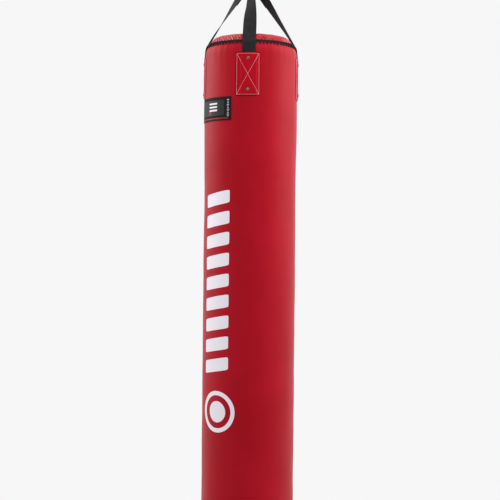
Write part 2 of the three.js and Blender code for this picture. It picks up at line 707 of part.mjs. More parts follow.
function addStraps() {
  for (const [side, azimuth] of Object.entries(STRAP_ANGLES)) {
    place(`strap_${side}`, drilled(strap(azimuth)), 'webbing');
    place(`patch_${side}`, drilled(patch(azimuth, SEWN_ASIDE[side])), 'patch');
    place(`d_ring_${side}`, dRing(azimuth), 'steel');
    for (const [level, drop] of Object.entries(RIVET_DROPS)) {
      place(`rivet_${side}_${level}`, rivet(azimuth + SEWN_ASIDE[side], drop), 'rivet');
      place(`washer_${side}_${level}`, washer(azimuth + SEWN_ASIDE[side], drop), 'steel');
    }
  }
}

function addHardware() {
  place('carabiner_body', carabinerBody(), 'steel', hardware);
  place('carabiner_gate', carabinerGate(), 'steel', hardware);
  place('gate_pin', acrossStack(gatePin(GATE_PIN_RADIUS, 2 * CARABINER.wire)), 'steel', hardware);
  place('swivel_lower_eye', swivelShank(), 'steel', hardware);
  const lowerRace = HOUSING_BOTTOM + HOUSING.floor + METAL_GAP;
  const ballsLow = lowerRace + RACE.thickness + METAL_GAP;
  const upperRace = ballsLow + 2 * BALLS.radius + METAL_GAP;
  place('bearing_lower_race', race(lowerRace), 'steel', hardware);
  place('bearing_balls', ballSet(ballsLow), 'steel', hardware);
  place('bearing_upper_race', race(upperRace), 'steel', hardware);
  place('swivel_nut', lockNut(upperRace + RACE.thickness + METAL_GAP), 'steel', hardware);
  place('swivel_housing', swivelHousing(), 'steel', hardware);
  const topEye = place('swivel_top_eye', swivelTopEye(), 'steel', assembly);
  topEye.position.z = -LACING_DROP;
}

addBag();
addStraps();
addHardware();

export default assembly;
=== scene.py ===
"""A red vinyl heavy bag on four webbing straps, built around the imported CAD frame. Metres, +Z up."""

import json
import math

import bpy
from mathutils import Matrix, Vector, noise


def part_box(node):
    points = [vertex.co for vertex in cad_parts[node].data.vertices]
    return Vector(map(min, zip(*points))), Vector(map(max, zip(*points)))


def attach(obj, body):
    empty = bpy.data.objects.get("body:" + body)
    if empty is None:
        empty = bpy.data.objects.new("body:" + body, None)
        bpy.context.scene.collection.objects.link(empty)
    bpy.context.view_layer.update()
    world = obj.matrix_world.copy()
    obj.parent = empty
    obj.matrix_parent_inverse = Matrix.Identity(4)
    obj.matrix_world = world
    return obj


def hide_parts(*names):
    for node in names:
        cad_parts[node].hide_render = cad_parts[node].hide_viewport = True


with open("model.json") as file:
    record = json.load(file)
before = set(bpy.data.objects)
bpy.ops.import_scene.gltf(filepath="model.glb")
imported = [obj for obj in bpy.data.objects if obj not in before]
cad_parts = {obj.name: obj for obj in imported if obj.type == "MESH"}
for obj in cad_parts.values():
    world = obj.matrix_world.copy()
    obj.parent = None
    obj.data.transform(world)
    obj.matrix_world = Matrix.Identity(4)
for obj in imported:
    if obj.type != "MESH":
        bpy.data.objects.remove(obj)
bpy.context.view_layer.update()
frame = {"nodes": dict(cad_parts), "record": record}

# ---------- Measures ----------

JOINTS = {joint["name"]: joint for joint in frame["record"]["behaviour"]["joints"]}
UP = Vector((0, 0, 1))
X_WAY = Vector((1, 0, 0))
Y_WAY = Vector((0, 1, 0))

# Heights on the bag are measured from the lacing line, positive up. The hardware uses the frame's own z.
LACING_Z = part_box("shell_tube")[1][2] + 0.0005

BAG_RADIUS = 0.177
BAG_DROP = 1.798
SHOULDER_DROP = 0.043
SHOULDER_ARC = 0.075
BOTTOM_ARC = 0.045
BELLY = (0.002, -0.284, 0.110)  # size, height, spread
WAIST = (-0.0012, -0.596, 0.120)
VINYL = 0.0018
BOTTOM_SEAM = math.radians(64)

COVER_OUTLINE = [
    (0.1615, -0.003), (0.1618, 0.001), (0.160, 0.005), (0.155, 0.012), (0.149, 0.020),
    (0.141, 0.027), (0.130, 0.031), (0.105, 0.0355), (0.060, 0.039), (0.0, 0.040),
]
LACE_STITCHES = 72
LACE_CORD = 0.0018
RIM_SLOPE = 0.66

STRAP_ANGLES = {"front": -90, "right": 5, "back": 97, "left": 182}
SEWN_ASIDE = {"front": -1.2, "right": -3.5, "back": 0, "left": 0}  # degrees from strap to patch
TWIST = (0.017, 0.239)  # heights between which a strap turns to face its D-ring
STRAP_WIDTH = 0.0508
STRAP_THICKNESS = 0.0022
STRAP_TAIL = 0.074
STRAP_END_DROP = 0.199
RIM_RADIUS = 0.1712
D_RING = {"wire": 0.003, "width": 0.060, "height": 0.046, "corner": 0.004, "pitch": 0.0068}
LOOP_SPACING = 0.0138
LOOP_RADIUS = 0.0046
RING_OVER_BAR = 0.0083

PATCH = {"width": 0.090, "top": -0.047, "bottom": -0.207, "thickness": 0.0015, "corner": 0.008}
PATCH_SEWN = {"half": 0.0415, "top": -0.051, "bottom": -0.203}
LABEL = {"from": -173.3, "to": -111.3, "top": -0.209, "bottom": -0.298}
INK_LIFT = 0.0003
INK_THICK = 0.0002
BACK_SEAM = math.radians(135)
SEAM_STRIP = {"half": 0.011, "lift": 0.0015, "edge_lift": 0.0004, "under": 0.0002}

# Puckers at the lacing, and the settled filling's lumps lower down: sizes and reaches.
PUCKER = {"fine": 0.0012, "fine_reach": 0.012, "broad": 0.0009, "broad_reach": 0.040}
LUMP = 0.0011
RIPPLE = 0.0004
PRESSED_EDGE = 0.012  # over which the vinyl rises again beside a strap
PLEAT = {"depth": 0.0050, "finer": 0.0014, "reach": 0.42, "lean": 15, "warp": 3.0, "rumple": 0.0016}
LACE_CENTRE = -0.0030
LACE_SWING = 0.0078
LACE_POINTS = 12  # points of the cord in one stitch
LACE_TURN = 0.97  # nearer to 1, the zigzag turns more sharply
LAYER_GAP = 0.0002  # between two layers that lie on each other
STRAP_OFF_SKIN = 0.0004
THREAD = {"seam": (0.0052, 0.00045), "bottom": (0.0055, 0.00045), "strap": (0.0042, 0.0005),
          "patch": (0.0050, 0.00056), "label": (0.0040, 0.0004)}  # stitch pitch, thread radius

VINYL_SPECULAR = 0.055
WARP_PITCH = 0.0021
WEFT_PITCH = 0.0017


# ---------- Small maths ----------

def smooth(share):
    share = min(max(share, 0.0), 1.0)
    return share * share * (3 - 2 * share)


def lerp(a, b, share):
    return a + (b - a) * share


def steps(low, high, count):
    """count + 1 even steps from low to high."""
    return [lerp(low, high, step / count) for step in range(count + 1)]


def arc_inset(radius, reach):
    return radius - math.sqrt(max(radius * radius - reach * reach, 0.0))


def arc(x, z, radius, first, last, count):
    """Points of an arc between two angles in degrees."""
    turns = [math.radians(angle) for angle in steps(first, last, count)]
    return [(x + radius * math.cos(turn), z + radius * math.sin(turn)) for turn in turns]


def swell(size, at, spread, height):
    return size * math.exp(-(((height - at) / spread) ** 2))


def at_angle(angle, radius, height):
    return Vector((radius * math.cos(angle), radius * math.sin(angle), LACING_Z + height))


def spline(points, share):
    """A point on the Catmull-Rom curve through the points; share runs from 0 to 1."""
    place = share * (len(points) - 1)
    first = min(int(place), len(points) - 2)
    t = place - first
    a, b, c, d = (Vector(points[min(max(first + k, 0), len(points) - 1)]) for k in (-1, 0, 1, 2))
    square = (2 * a - 5 * b + 4 * c - d) * t ** 2
    cube = (3 * b - a - 3 * c + d) * t ** 3
    return 0.5 * (2 * b + (c - a) * t + square + cube)


def outward_at(angle):
    """The level direction away from the bag's axis."""
    return Vector((math.cos(angle), math.sin(angle), 0))


def fixed_noise(x, y, z):
    return noise.noise(Vector((x, y, z)))


def between(start, end, count):
    """count + 1 even points from one pair of numbers to another."""
    shares = steps(0.0, 1.0, count)
    return [(lerp(start[0], end[0], share), lerp(start[1], end[1], share)) for share in shares]


def sides_of(corners):
    """The (start, end) of each side of a closed outline."""
    return list(zip(corners, corners[1:] + corners[:1]))


# ---------- Meshes ----------

def piece(name, vertices, faces, finish, slot, body="bag", stands_for=(), crease=50, uvs=None):
    mesh = bpy.data.meshes.new(name)
    mesh.from_pydata(vertices, [], faces)
    mesh.shade_smooth()
    mesh.set_sharp_from_angle(angle=math.radians(crease))
    if uvs:
        layer = mesh.uv_layers.new(name="Weave")
        for loop in mesh.loops:
            layer.data[loop.index].uv = uvs[loop.vertex_index]
    mesh.materials.append(finish)
    made = bpy.data.objects.new(name, mesh)
    bpy.context.scene.collection.objects.link(made)
    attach(made, body)
    if stands_for:
        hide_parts(*stands_for)
    return made


def ring_rows(rows, columns, point_at, closed=False):
    """Rows of points round an axis, joined into a skin; closed also joins the last row to the first."""
    vertices = [point_at(row, column) for row in range(rows) for column in range(columns)]
    faces = []
    for row in range(rows if closed else rows - 1):
        low, high = row * columns, ((row + 1) % rows) * columns
        for column in range(columns):
            nearby = (column + 1) % columns
            faces.append((low + column, low + nearby, high + nearby, high + column))
    return vertices, faces


def turned_point(profile, segments, centre, axis, across):
    """The point_at of a turned skin: a row is a (radius, height) pair and a column is an angle."""
    side = axis.cross(across)

    def point_at(row, column):
        angle = 2 * math.pi * column / segments
        radius, height = profile[row]
        return centre + axis * height + (across * math.cos(angle) + side * math.sin(angle)) * radius

    return point_at


def turned(profile, segments, centre=Vector(), axis=UP, across=X_WAY):
    """A closed turned piece from (radius, height) pairs that start and end on the axis."""
    inner = profile[1:-1]
    vertices, faces = ring_rows(len(inner), segments, turned_point(inner, segments, centre, axis, across))
    first, last = len(vertices), len(vertices) + 1
    vertices += [centre + axis * profile[0][1], centre + axis * profile[-1][1]]
    top = (len(inner) - 1) * segments
    for column in range(segments):
        nearby = (column + 1) % segments
        faces.append((first, nearby, column))
        faces.append((last, top + column, top + nearby))
    return vertices, faces


def turned_wall(profile, segments):
    """A closed turned ring about +Z from (radius, height) pairs that go once round its section."""
    point_at = turned_point(profile, segments, Vector(), UP, X_WAY)
    return ring_rows(len(profile), segments, point_at, closed=True)


def sheet(columns, rows, point_at):
    """A closed sheet of two faces; point_at(column, row, side) has side -1 inside or 1 outside."""
    vertices = []
    for side in (-1, 1):
        vertices += [point_at(column, row, side) for row in range(rows) for column in range(columns)]

    def at(column, row, side):
        return (columns * rows if side > 0 else 0) + row * columns + column

    faces = []
    for row in range(rows - 1):
        for column in range(columns - 1):
            c, r = column + 1, row + 1
            faces.append((at(column, row, 1), at(c, row, 1), at(c, r, 1), at(column, r, 1)))
            faces.append((at(column, row, -1), at(column, r, -1), at(c, r, -1), at(c, row, -1)))
        end, up = columns - 1, row + 1
        faces.append((at(0, row, -1), at(0, row, 1), at(0, up, 1), at(0, up, -1)))
        faces.append((at(end, row, 1), at(end, row, -1), at(end, up, -1), at(end, up, 1)))
    for column in range(columns - 1):
        end, c = rows - 1, column + 1
        faces.append((at(column, 0, -1), at(c, 0, -1), at(c, 0, 1), at(column, 0, 1)))
        faces.append((at(column, end, 1), at(c, end, 1), at(c, end, -1), at(column, end, -1)))
    return vertices, faces


def tube(path, radius, sides=24, closed=True, start=None):
    """A round wire along a path. The section's frame is carried along it without twisting."""
    count = len(path)

    def middle(place):
        return path[place % count if closed else min(max(place, 0), count - 1)]

    along = [(middle(place + 1) - middle(place - 1)).normalized() for place in range(count)]
    normal = start or along[0].orthogonal()
    sections = []
    for direction in along:
        normal = (normal - direction * normal.dot(direction)).normalized()
        sections.append((normal, direction.cross(normal)))

    def point_at(place, side):
        turn = 2 * math.pi * side / sides
        up, across = sections[place]
        return path[place] + (up * math.cos(turn) + across * math.sin(turn)) * radius

    vertices, faces = ring_rows(count, sides, point_at, closed)
    if not closed:
        faces.append(tuple(range(sides))[::-1])
        faces.append(tuple((count - 1) * sides + side for side in range(sides)))
    return vertices, faces


def merged(parts):
    """Several (vertices, faces) as one."""
    vertices, faces = [], []
    for more_vertices, more_faces in parts:
        shift = len(vertices)
        vertices += more_vertices
        faces += [tuple(index + shift for index in face) for face in more_faces]
    return vertices, faces


def solid_object(vertices, faces):
    mesh = bpy.data.meshes.new("working")
    mesh.from_pydata(vertices, [], faces)
    made = bpy.data.objects.new("working", mesh)
    bpy.context.scene.collection.objects.link(made)
    return made


def carved(first, *changes):
    """The solid first with each (operation, solid) done to it in turn, as (vertices, faces)."""
    base = solid_object(*first)
    helpers = []
    for operation, other in changes:
        helper = solid_object(*other)
        helpers.append(helper)
        change = base.modifiers.new(operation, "BOOLEAN")
        change.operation = operation
        change.solver = "EXACT"
        change.object = helper
    evaluated = base.evaluated_get(bpy.context.evaluated_depsgraph_get())
    result = evaluated.to_mesh()
    vertices = [vertex.co.copy() for vertex in result.vertices]
    faces = [tuple(face.vertices) for face in result.polygons]
    evaluated.to_mesh_clear()
    for used in [base, *helpers]:
        mesh = used.data
        bpy.data.objects.remove(used)
        bpy.data.meshes.remove(mesh)
    return vertices, faces


def block(centre, size, axes):
    """A box with its own axes, for cutting."""
    corners = [
        centre + axes[0] * x * size[0] / 2 + axes[1] * y * size[1] / 2 + axes[2] * z * size[2] / 2
        for z in (-1, 1) for x, y in ((-1, -1), (1, -1), (1, 1), (-1, 1))
    ]
    faces = [(0, 3, 2, 1), (4, 5, 6, 7), (0, 1, 5, 4), (1, 2, 6, 5), (2, 3, 7, 6), (3, 0, 4, 7)]
    return corners, faces


# ---------- Sewing ----------

def stitch(start, end, normal, radius):
    """One rounded stitch that rises out of the material and goes back in."""
    sides = 6
    shares = (0.0, 0.12, 0.35, 0.65, 0.88, 1.0)
    last = len(shares) - 1
    along = (end - start).normalized()
    across = along.cross(normal).normalized()
    rise = normal.normalized()
    rings = []
    for share in shares:
        lift = (math.sin(math.pi * share) ** 0.6) * radius * 1.15 - radius * 0.75
        size = radius * (0.55 + 0.45 * math.sin(math.pi * share) ** 0.5)
        middle = start.lerp(end, share) + rise * lift
        for side in range(sides):
            turn = 2 * math.pi * side / sides
            rings.append(middle + (rise * math.cos(turn) + across * math.sin(turn)) * size)
    faces = []
    for ring in range(last):
        for side in range(sides):
            nearby = (side + 1) % sides
            low, high = ring * sides, (ring + 1) * sides
            faces.append((low + nearby, low + side, high + side, high + nearby))
    faces.append(tuple(range(sides)))
    faces.append(tuple(last * sides + side for side in range(sides))[::-1])
    return rings, faces


def sewn(runs, kind):
    """Stitches of one length along each run, a list of (point, outward normal)."""
    pitch, radius = THREAD[kind]
    parts = []
    for run in runs:
        reach = [0.0]
        for (a, _), (b, _) in zip(run, run[1:]):
            reach.append(reach[-1] + (b - a).length)
        count = max(1, round(reach[-1] / pitch))

        def at(distance):
            k = 0
            while k + 2 < len(reach) and reach[k + 1] < distance:
                k += 1
            share = (distance - reach[k]) / max(reach[k + 1] - reach[k], 1e-9)
            return run[k][0].lerp(run[k + 1][0], share), run[k][1].lerp(run[k + 1][1], share)

        step = reach[-1] / count
        for number in range(count):
            start, normal = at((number + 0.1) * step)
            end, _ = at((number + 0.9) * step)
            parts.append(stitch(start, end, normal, radius))
    return merged(parts)


# ---------- Finishes ----------

def paint(red, green, blue):
    """A colour given in screen values from 0 to 255, as the linear colour that shaders take."""
    def linear(value):
        value /= 255
        return value / 12.92 if value <= 0.04045 else ((value + 0.055) / 1.055) ** 2.4
    return (linear(red), linear(green), linear(blue), 1.0)


class Finish:
    """A material on one Principled shader, with short calls for its procedural nodes."""

    def __init__(self, name, sockets):
        self.material = bpy.data.materials.new(name)
        self.material.use_nodes = True
        self.tree = self.material.node_tree
        self.shader = self.tree.nodes["Principled BSDF"]
        for socket, value in sockets.items():
            self.shader.inputs[socket].default_value = value
        self.place = self.add("ShaderNodeTexCoord").outputs["Object"]

    def add(self, kind, settings=None, inputs=None):
        node = self.tree.nodes.new(kind)
        for key, value in (settings or {}).items():
            setattr(node, key, value)
        for socket, value in (inputs or {}).items():
            self.feed(node.inputs[socket], value)
        return node

    def feed(self, socket, value):
        if isinstance(value, bpy.types.NodeSocket):
            self.tree.links.new(value, socket)
        else:
            socket.default_value = value

    def stretched(self, scale):
        mapping = self.add("ShaderNodeMapping", inputs={"Vector": self.place, "Scale": scale})
        return mapping.outputs["Vector"]

    def noise(self, scale, detail=3.0, rough=0.55, stretch=None):
        place = self.stretched(stretch) if stretch else self.place
        inputs = {"Vector": place, "Scale": scale, "Detail": detail, "Roughness": rough}
        return self.add("ShaderNodeTexNoise", inputs=inputs).outputs["Fac"]

    def cells(self, scale, feature="F1"):
        inputs = {"Vector": self.place, "Scale": scale}
        return self.add("ShaderNodeTexVoronoi", {"feature": feature}, inputs).outputs["Distance"]

    def sum(self, operation, a, b):
        return self.add("ShaderNodeMath", {"operation": operation}, {0: a, 1: b}).outputs["Value"]

    def remap(self, value, low, high, to_low, to_high):
        inputs = {"Value": value, "From Min": low, "From Max": high, "To Min": to_low, "To Max": to_high}
        return self.add("ShaderNodeMapRange", inputs=inputs).outputs["Result"]

    def blend(self, share, first, second):
        node = self.add("ShaderNodeMix", {"data_type": "RGBA"})
        self.feed(node.inputs["Factor"], share)
        self.feed(node.inputs[6], first)
        self.feed(node.inputs[7], second)
        return node.outputs[2]

    def bump(self, height, distance, strength=1.0, under=None):
        inputs = {"Height": height, "Distance": distance, "Strength": strength}
        if under is not None:
            inputs["Normal"] = under
        return self.add("ShaderNodeBump", inputs=inputs).outputs["Normal"]

    def weave(self):
        """Across and along the cloth, in metres."""
        uv = self.add("ShaderNodeUVMap", {"uv_map": "Weave"}).outputs["UV"]
        split = self.add("ShaderNodeSeparateXYZ", inputs={"Vector": uv})
        return split.outputs["X"], split.outputs["Y"]

    def finish(self, colour=None, roughness=None, normal=None):
        for socket, value in (("Base Color", colour), ("Roughness", roughness), ("Normal", normal)):
            if value is not None:
                self.feed(self.shader.inputs[socket], value)
        return self.material


def vinyl(name, deep, bright, low, high, sheen, specular=VINYL_SPECULAR):
    look = Finish(name, {"Specular IOR Level": specular, "Sheen Weight": sheen, "Sheen Roughness": 0.5})
    patches = look.noise(5.0, 4.0)
    colour = look.blend(look.remap(patches, 0.35, 0.65, 0.0, 1.0), paint(*deep), paint(*bright))
    grain = look.cells(760.0)
    creases = look.noise(90.0, 5.0, 0.6)
    roughness = look.remap(look.noise(14.0, 4.0), 0.3, 0.7, low, high)
    normal = look.bump(creases, 0.0004, 0.3)
    normal = look.bump(grain, 0.00012, 0.5, normal)
    return look.finish(colour, roughness, normal)


def webbing():
    sockets = {"Specular IOR Level": 0.1, "Sheen Weight": 0.03, "Sheen Roughness": 0.4}
    look = Finish("black_nylon_webbing", sockets)
    across, along = look.weave()
    warp = look.sum("SINE", look.sum("MULTIPLY", across, 2 * math.pi / WARP_PITCH), 0.0)
    weft = look.sum("SINE", look.sum("MULTIPLY", along, 2 * math.pi / WEFT_PITCH), 0.0)
    threads = look.sum("MULTIPLY", warp, weft)
    ribs = look.sum("ADD", look.sum("MULTIPLY", threads, 0.6), look.sum("MULTIPLY", warp, 0.4))
    wear = look.noise(60.0, 5.0)
    colour = look.blend(look.remap(wear, 0.35, 0.7, 0.0, 1.0), paint(21, 19, 20), paint(38, 35, 36))
    colour = look.blend(look.remap(threads, -1.0, 1.0, 0.0, 0.35), colour, paint(14, 14, 15))
    normal = look.bump(look.sum("ADD", ribs, look.noise(900.0, 2.0)), 0.00028, 0.9)
    return look.finish(colour, look.remap(wear, 0.3, 0.7, 0.62, 0.8), normal)


def cord(name, dark, light):
    look = Finish(name, {"Specular IOR Level": 0.15, "Sheen Weight": 0.03})
    fibres = look.noise(700.0, 3.0, 0.6)
    colour = look.blend(fibres, paint(*dark), paint(*light))
    normal = look.bump(look.cells(480.0), 0.0003, 0.8)
    return look.finish(colour, look.remap(fibres, 0.3, 0.7, 0.6, 0.8), normal)


def metal(name, tone, low, high, scratch):
    look = Finish(name, {"Metallic": 1.0})
    cloud = look.noise(120.0, 4.0)
    colour = look.blend(cloud, paint(*[value * 0.86 for value in tone]), paint(*tone))
    lines = look.noise(420.0, 2.0, 0.5, stretch=(1.0, 1.0, 0.12))
    normal = look.bump(lines, 0.00004, scratch)
    return look.finish(colour, look.remap(look.noise(260.0, 5.0), 0.3, 0.7, low, high), normal)


def cloth(name, dark, light, scale, rough, specular=0.25, sheen=0.15):
    look = Finish(name, {"Specular IOR Level": specular, "Sheen Weight": sheen})
    weave = look.cells(scale)
    colour = look.blend(look.noise(scale * 0.3, 4.0), paint(*dark), paint(*light))
    return look.finish(colour, rough, look.bump(weave, 0.0002, 0.6))


def ink(name, tone, specular=0.35):
    look = Finish(name, {"Specular IOR Level": specular})
    colour = look.blend(look.noise(160.0, 4.0), paint(*[value * 0.95 for value in tone]), paint(*tone))
    roughness = look.remap(look.noise(40.0), 0.3, 0.7, 0.42, 0.52)
    return look.finish(colour, roughness, look.bump(look.cells(760.0), 0.00008, 0.4))


RED_VINYL = vinyl("red_vinyl_cloth", (143, 0, 18), (152, 2, 24), 0.42, 0.52, 0.10)
COVER_VINYL = vinyl("red_cover_vinyl", (148, 2, 22), (166, 6, 32), 0.26, 0.36, 0.14, 0.22)
PATCH_VINYL = vinyl("red_patch_vinyl_cloth", (148, 0, 17), (158, 0, 23), 0.38, 0.48, 0.04)
# A dark red for the tube round each patch: a painted shadow line where the patch stands off the bag.
PATCH_EDGE_SHADE = vinyl("red_vinyl_painted_edge_shadow", (78, 4, 12), (98, 6, 16), 0.6, 0.7, 0.0)
WEBBING = webbing()
BLACK_CORD = cord("black_lacing_cord", (8, 5, 8), (22, 16, 20))
BLACK_THREAD = cord("black_sewing_thread", (18, 18, 19), (48, 47, 48))
PALE_THREAD = cord("pale_sewing_thread", (206, 150, 156), (232, 190, 195))
RED_THREAD = cord("red_sewing_thread", (120, 8, 20), (160, 20, 34))
RIVET_METAL = metal("nickelled_rivet", (150, 118, 108), 0.10, 0.18, 0.2)
ZINC = metal("zinc_plated_steel", (136, 139, 143), 0.24, 0.38, 0.4)
LABEL_CLOTH = cloth("black_label_cloth", (12, 12, 13), (24, 24, 26), 900.0, 0.7, 0.08, 0.0)
LABEL_GREY = ink("grey_label_print", (38, 38, 40), 0.08)
LABEL_RED = ink("red_label_print", (150, 14, 28), 0.1)
WHITE_INK = ink("white_print", (214, 209, 217), 0.1)
FOAM = cloth("grey_foam", (146, 146, 138), (170, 170, 162), 420.0, 0.95)
RAGS = cloth("packed_textile", (104, 92, 80), (160, 148, 134), 160.0, 0.95)


# ---------- The bag's skin ----------

def skin_radius(height):
    straight = BAG_RADIUS + swell(*BELLY, height) + swell(*WAIST, height)
    into_shoulder = max(0.0, height + SHOULDER_DROP)
    into_bottom = max(0.0, BOTTOM_ARC - BAG_DROP - height)
    return straight - arc_inset(SHOULDER_ARC, into_shoulder) - arc_inset(BOTTOM_ARC, into_bottom)


def under_strap(angle):
    """1 under a strap, which presses the vinyl flat, and 0 a little to its side."""
    turns = [math.remainder(angle - math.radians(azimuth), 2 * math.pi) for azimuth in STRAP_ANGLES.values()]
    aside = min(abs(turn) for turn in turns) * BAG_RADIUS
    return 1 - smooth((aside - STRAP_WIDTH / 2) / PRESSED_EDGE)


def relief(angle, height):
    """How far the stuffed vinyl stands off its plain outline: puckers at the lacing, lumps lower down."""
    x, y = math.cos(angle), math.sin(angle)
    uneven = 0.75 + 0.8 * fixed_noise(9 * x, 9 * y, 3.0)
    fan = 2.2 * fixed_noise(3 * x, 3 * y, 5.0)
    fine = PUCKER["fine"] * math.exp(height / PUCKER["fine_reach"]) * math.cos(LACE_STITCHES * angle)
    wave = math.cos(LACE_STITCHES / 2 * angle + fan)
    broad = PUCKER["broad"] * math.exp(height / PUCKER["broad_reach"]) * wave
    pucker = uneven * (fine + broad) * (1 - 0.9 * under_strap(angle))
    settled = smooth((-height - 0.20) / 0.15) * smooth((height + BAG_DROP) / 0.06)
    lump = LUMP * fixed_noise(2.0 * x, 2.0 * y, 7 * height)
    ripple = RIPPLE * fixed_noise(5.0 * x, 5.0 * y, 26 * height + 9.0)
    return pucker + settled * (lump + ripple)


def on_skin(angle, height, lift=0.0):
    return at_angle(angle, skin_radius(height) + relief(angle, height) + lift, height)


def shell_heights():
    top = steps(-0.0005, -0.0455, 18)
    drop = steps(-0.060, BOTTOM_ARC - BAG_DROP, 96)
    bottom = [BOTTOM_ARC - BAG_DROP - BOTTOM_ARC * math.sin(BOTTOM_SEAM * k / 9) for k in range(1, 10)]
    return top + drop + bottom


def make_shell():
    outer = shell_heights()
    inner = outer[::-4]
    if inner[-1] != outer[0]:
        inner.append(outer[0])
    rows = [(height, 0.0) for height in outer] + [(height, -VINYL) for height in inner]
    columns = 360

    def point_at(row, column):
        height, lift = rows[row]
        return on_skin(-2 * math.pi * column / columns, height, lift)

    vertices, faces = ring_rows(len(rows), columns, point_at, closed=True)
    shell = piece("bag_shell", vertices, faces, RED_VINYL, "red_vinyl", stands_for=["shell_tube"])


def make_back_seam():
    """The tube's long seam: a lapped strip with two rows of stitching."""
    half = SEAM_STRIP["half"] / BAG_RADIUS
    heights = shell_heights()[4:-2]
    upwards = heights[::-1]
    spread = [-1.0, -0.94, -0.6, 0.0, 0.6, 0.94, 1.0]

    def point_at(column, row, side):
        edge_shadow = abs(spread[column]) > 0.99
        lift = SEAM_STRIP["edge_lift" if edge_shadow else "lift"] if side > 0 else SEAM_STRIP["under"]
        return on_skin(BACK_SEAM + half * spread[column], upwards[row], lift)

    vertices, faces = sheet(len(spread), len(upwards), point_at)
    piece("back_seam_strip", vertices, faces, RED_VINYL, "red_vinyl")
    runs = []
    for side in (-0.62, 0.62):
        angle = BACK_SEAM + half * side
        out = outward_at(angle)
        runs.append([(on_skin(angle, height, SEAM_STRIP["lift"]), out) for height in heights])
    piece("back_seam_thread", *sewn(runs, "seam"), RED_THREAD, "red_vinyl")


# ---------- Top cover and lacing ----------

def cover_point(angle, share):
    """share is 0 at the laced edge and 1 at the middle of the cover."""
    radius, height = spline(COVER_OUTLINE, share)
    ahead = spline(COVER_OUTLINE, min(share + 0.01, 1.0))
    behind = spline(COVER_OUTLINE, max(share - 0.01, 0.0))
    slope = ahead - behind
    out = Vector((slope.y, -slope.x)).normalized()
    x, y = math.cos(angle), math.sin(angle)
    warp = PLEAT["warp"] * fixed_noise(3.5 * x, 3.5 * y, 1.0)
    # The pleats lean: they run aside as they climb. Their valleys are sharp and their ridges round.
    phase = LACE_STITCHES / 2 * angle + PLEAT["lean"] * share + warp
    folds = 2 * abs(math.sin(phase)) - 1
    finer = math.sin(3 * phase + 4 * fixed_noise(8 * x, 8 * y, 4 * share))
    near_edge = smooth(share / 0.04) * math.exp(-share / PLEAT["reach"])
    deep = PLEAT["depth"] * (0.8 + 1.0 * fixed_noise(6 * x, 6 * y, 5 * share))
    rumple = PLEAT["rumple"] * fixed_noise(44 * x * radius, 44 * y * radius, 2.0) * smooth(share * 3)
    lift = near_edge * (deep * folds + PLEAT["finer"] * finer) + rumple * (1 - share * 0.4)
    radius = max(radius + out.x * lift, 0.0)
    return at_angle(angle, radius, height + out.y * lift)


def make_cover():
    columns = 720
    # The rows lie closer together towards the laced edge.
    shares = [0.96 * (k / 44) ** 1.15 for k in range(45)]
    both = shares + shares[::-4]

    def point_at(row, column):
        point = cover_point(2 * math.pi * column / columns, both[row])
        if row < len(shares):
            return point
        inward = Vector((-point.x, -point.y, 0)).normalized() * VINYL * 0.7
        return point + inward - UP * VINYL * 0.8

    vertices, faces = ring_rows(len(both), columns, point_at)
    last_outside = (len(shares) - 1) * columns
    # The skin runs inwards over the top and back outwards underneath; both middles are closed by a fan.
    under = len(shares) * columns
    faces = [face for face in faces if not (last_outside <= face[0] < under and face[2] >= under)]
    centre = len(vertices)
    peak = spline(COVER_OUTLINE, 1.0).y
    vertices += [at_angle(0, 0, peak), at_angle(0, 0, peak - VINYL)]
    rim = (len(both) - 1) * columns
    for column in range(columns):
        nearby = (column + 1) % columns
        faces.append((last_outside + column, last_outside + nearby, centre))
        faces.append((under + nearby, under + column, centre + 1))
        faces.append((rim + column, rim + nearby, nearby, column))
    cover = piece(
        "gathered_cover", vertices, faces, COVER_VINYL, "red_vinyl",
        stands_for=["top_cover"], crease=180,
    )


def lace_radius(height):
    """The cord lies on the tape at the rim and on the vinyl below it."""
    lift = lerp(0.0022, 0.0044, smooth((height + 0.007) / 0.005))
    return skin_radius(min(height, -0.0005)) + lift - RIM_SLOPE * max(height, 0.0)


def make_lacing():
    """A black edge tape round the rim, and the cord laced over it in a zigzag."""
    columns = 288
    section = [
        (0.1652, -0.0012), (0.1666, -0.0014), (0.1672, -0.0004), (0.1668, 0.0022),
        (0.1648, 0.0040), (0.1624, 0.0044), (0.1624, 0.0026), (0.1632, -0.0006),
    ]

    def tape_at(row, column):
        radius, height = section[row]
        angle = 2 * math.pi * column / columns
        wave = 0.0003 * math.cos(LACE_STITCHES * angle)
        return at_angle(angle, radius + wave, height)

    tape = ring_rows(len(section), columns, tape_at, closed=True)
    path = []
    for step in range(LACE_STITCHES * LACE_POINTS):
        angle = 2 * math.pi * step / (LACE_STITCHES * LACE_POINTS)
        swing = math.asin(LACE_TURN * math.sin(LACE_STITCHES * angle)) / math.asin(LACE_TURN)
        height = LACE_CENTRE + LACE_SWING * swing
        path.append(at_angle(angle, lace_radius(height), height))
    cord_mesh = tube(path, LACE_CORD, sides=8)
    vertices, faces = merged([tape, cord_mesh])
    piece("laced_edge", vertices, faces, BLACK_CORD, "black_cord", stands_for=["rim_lacing"], crease=80)


# ---------- Bottom ----------

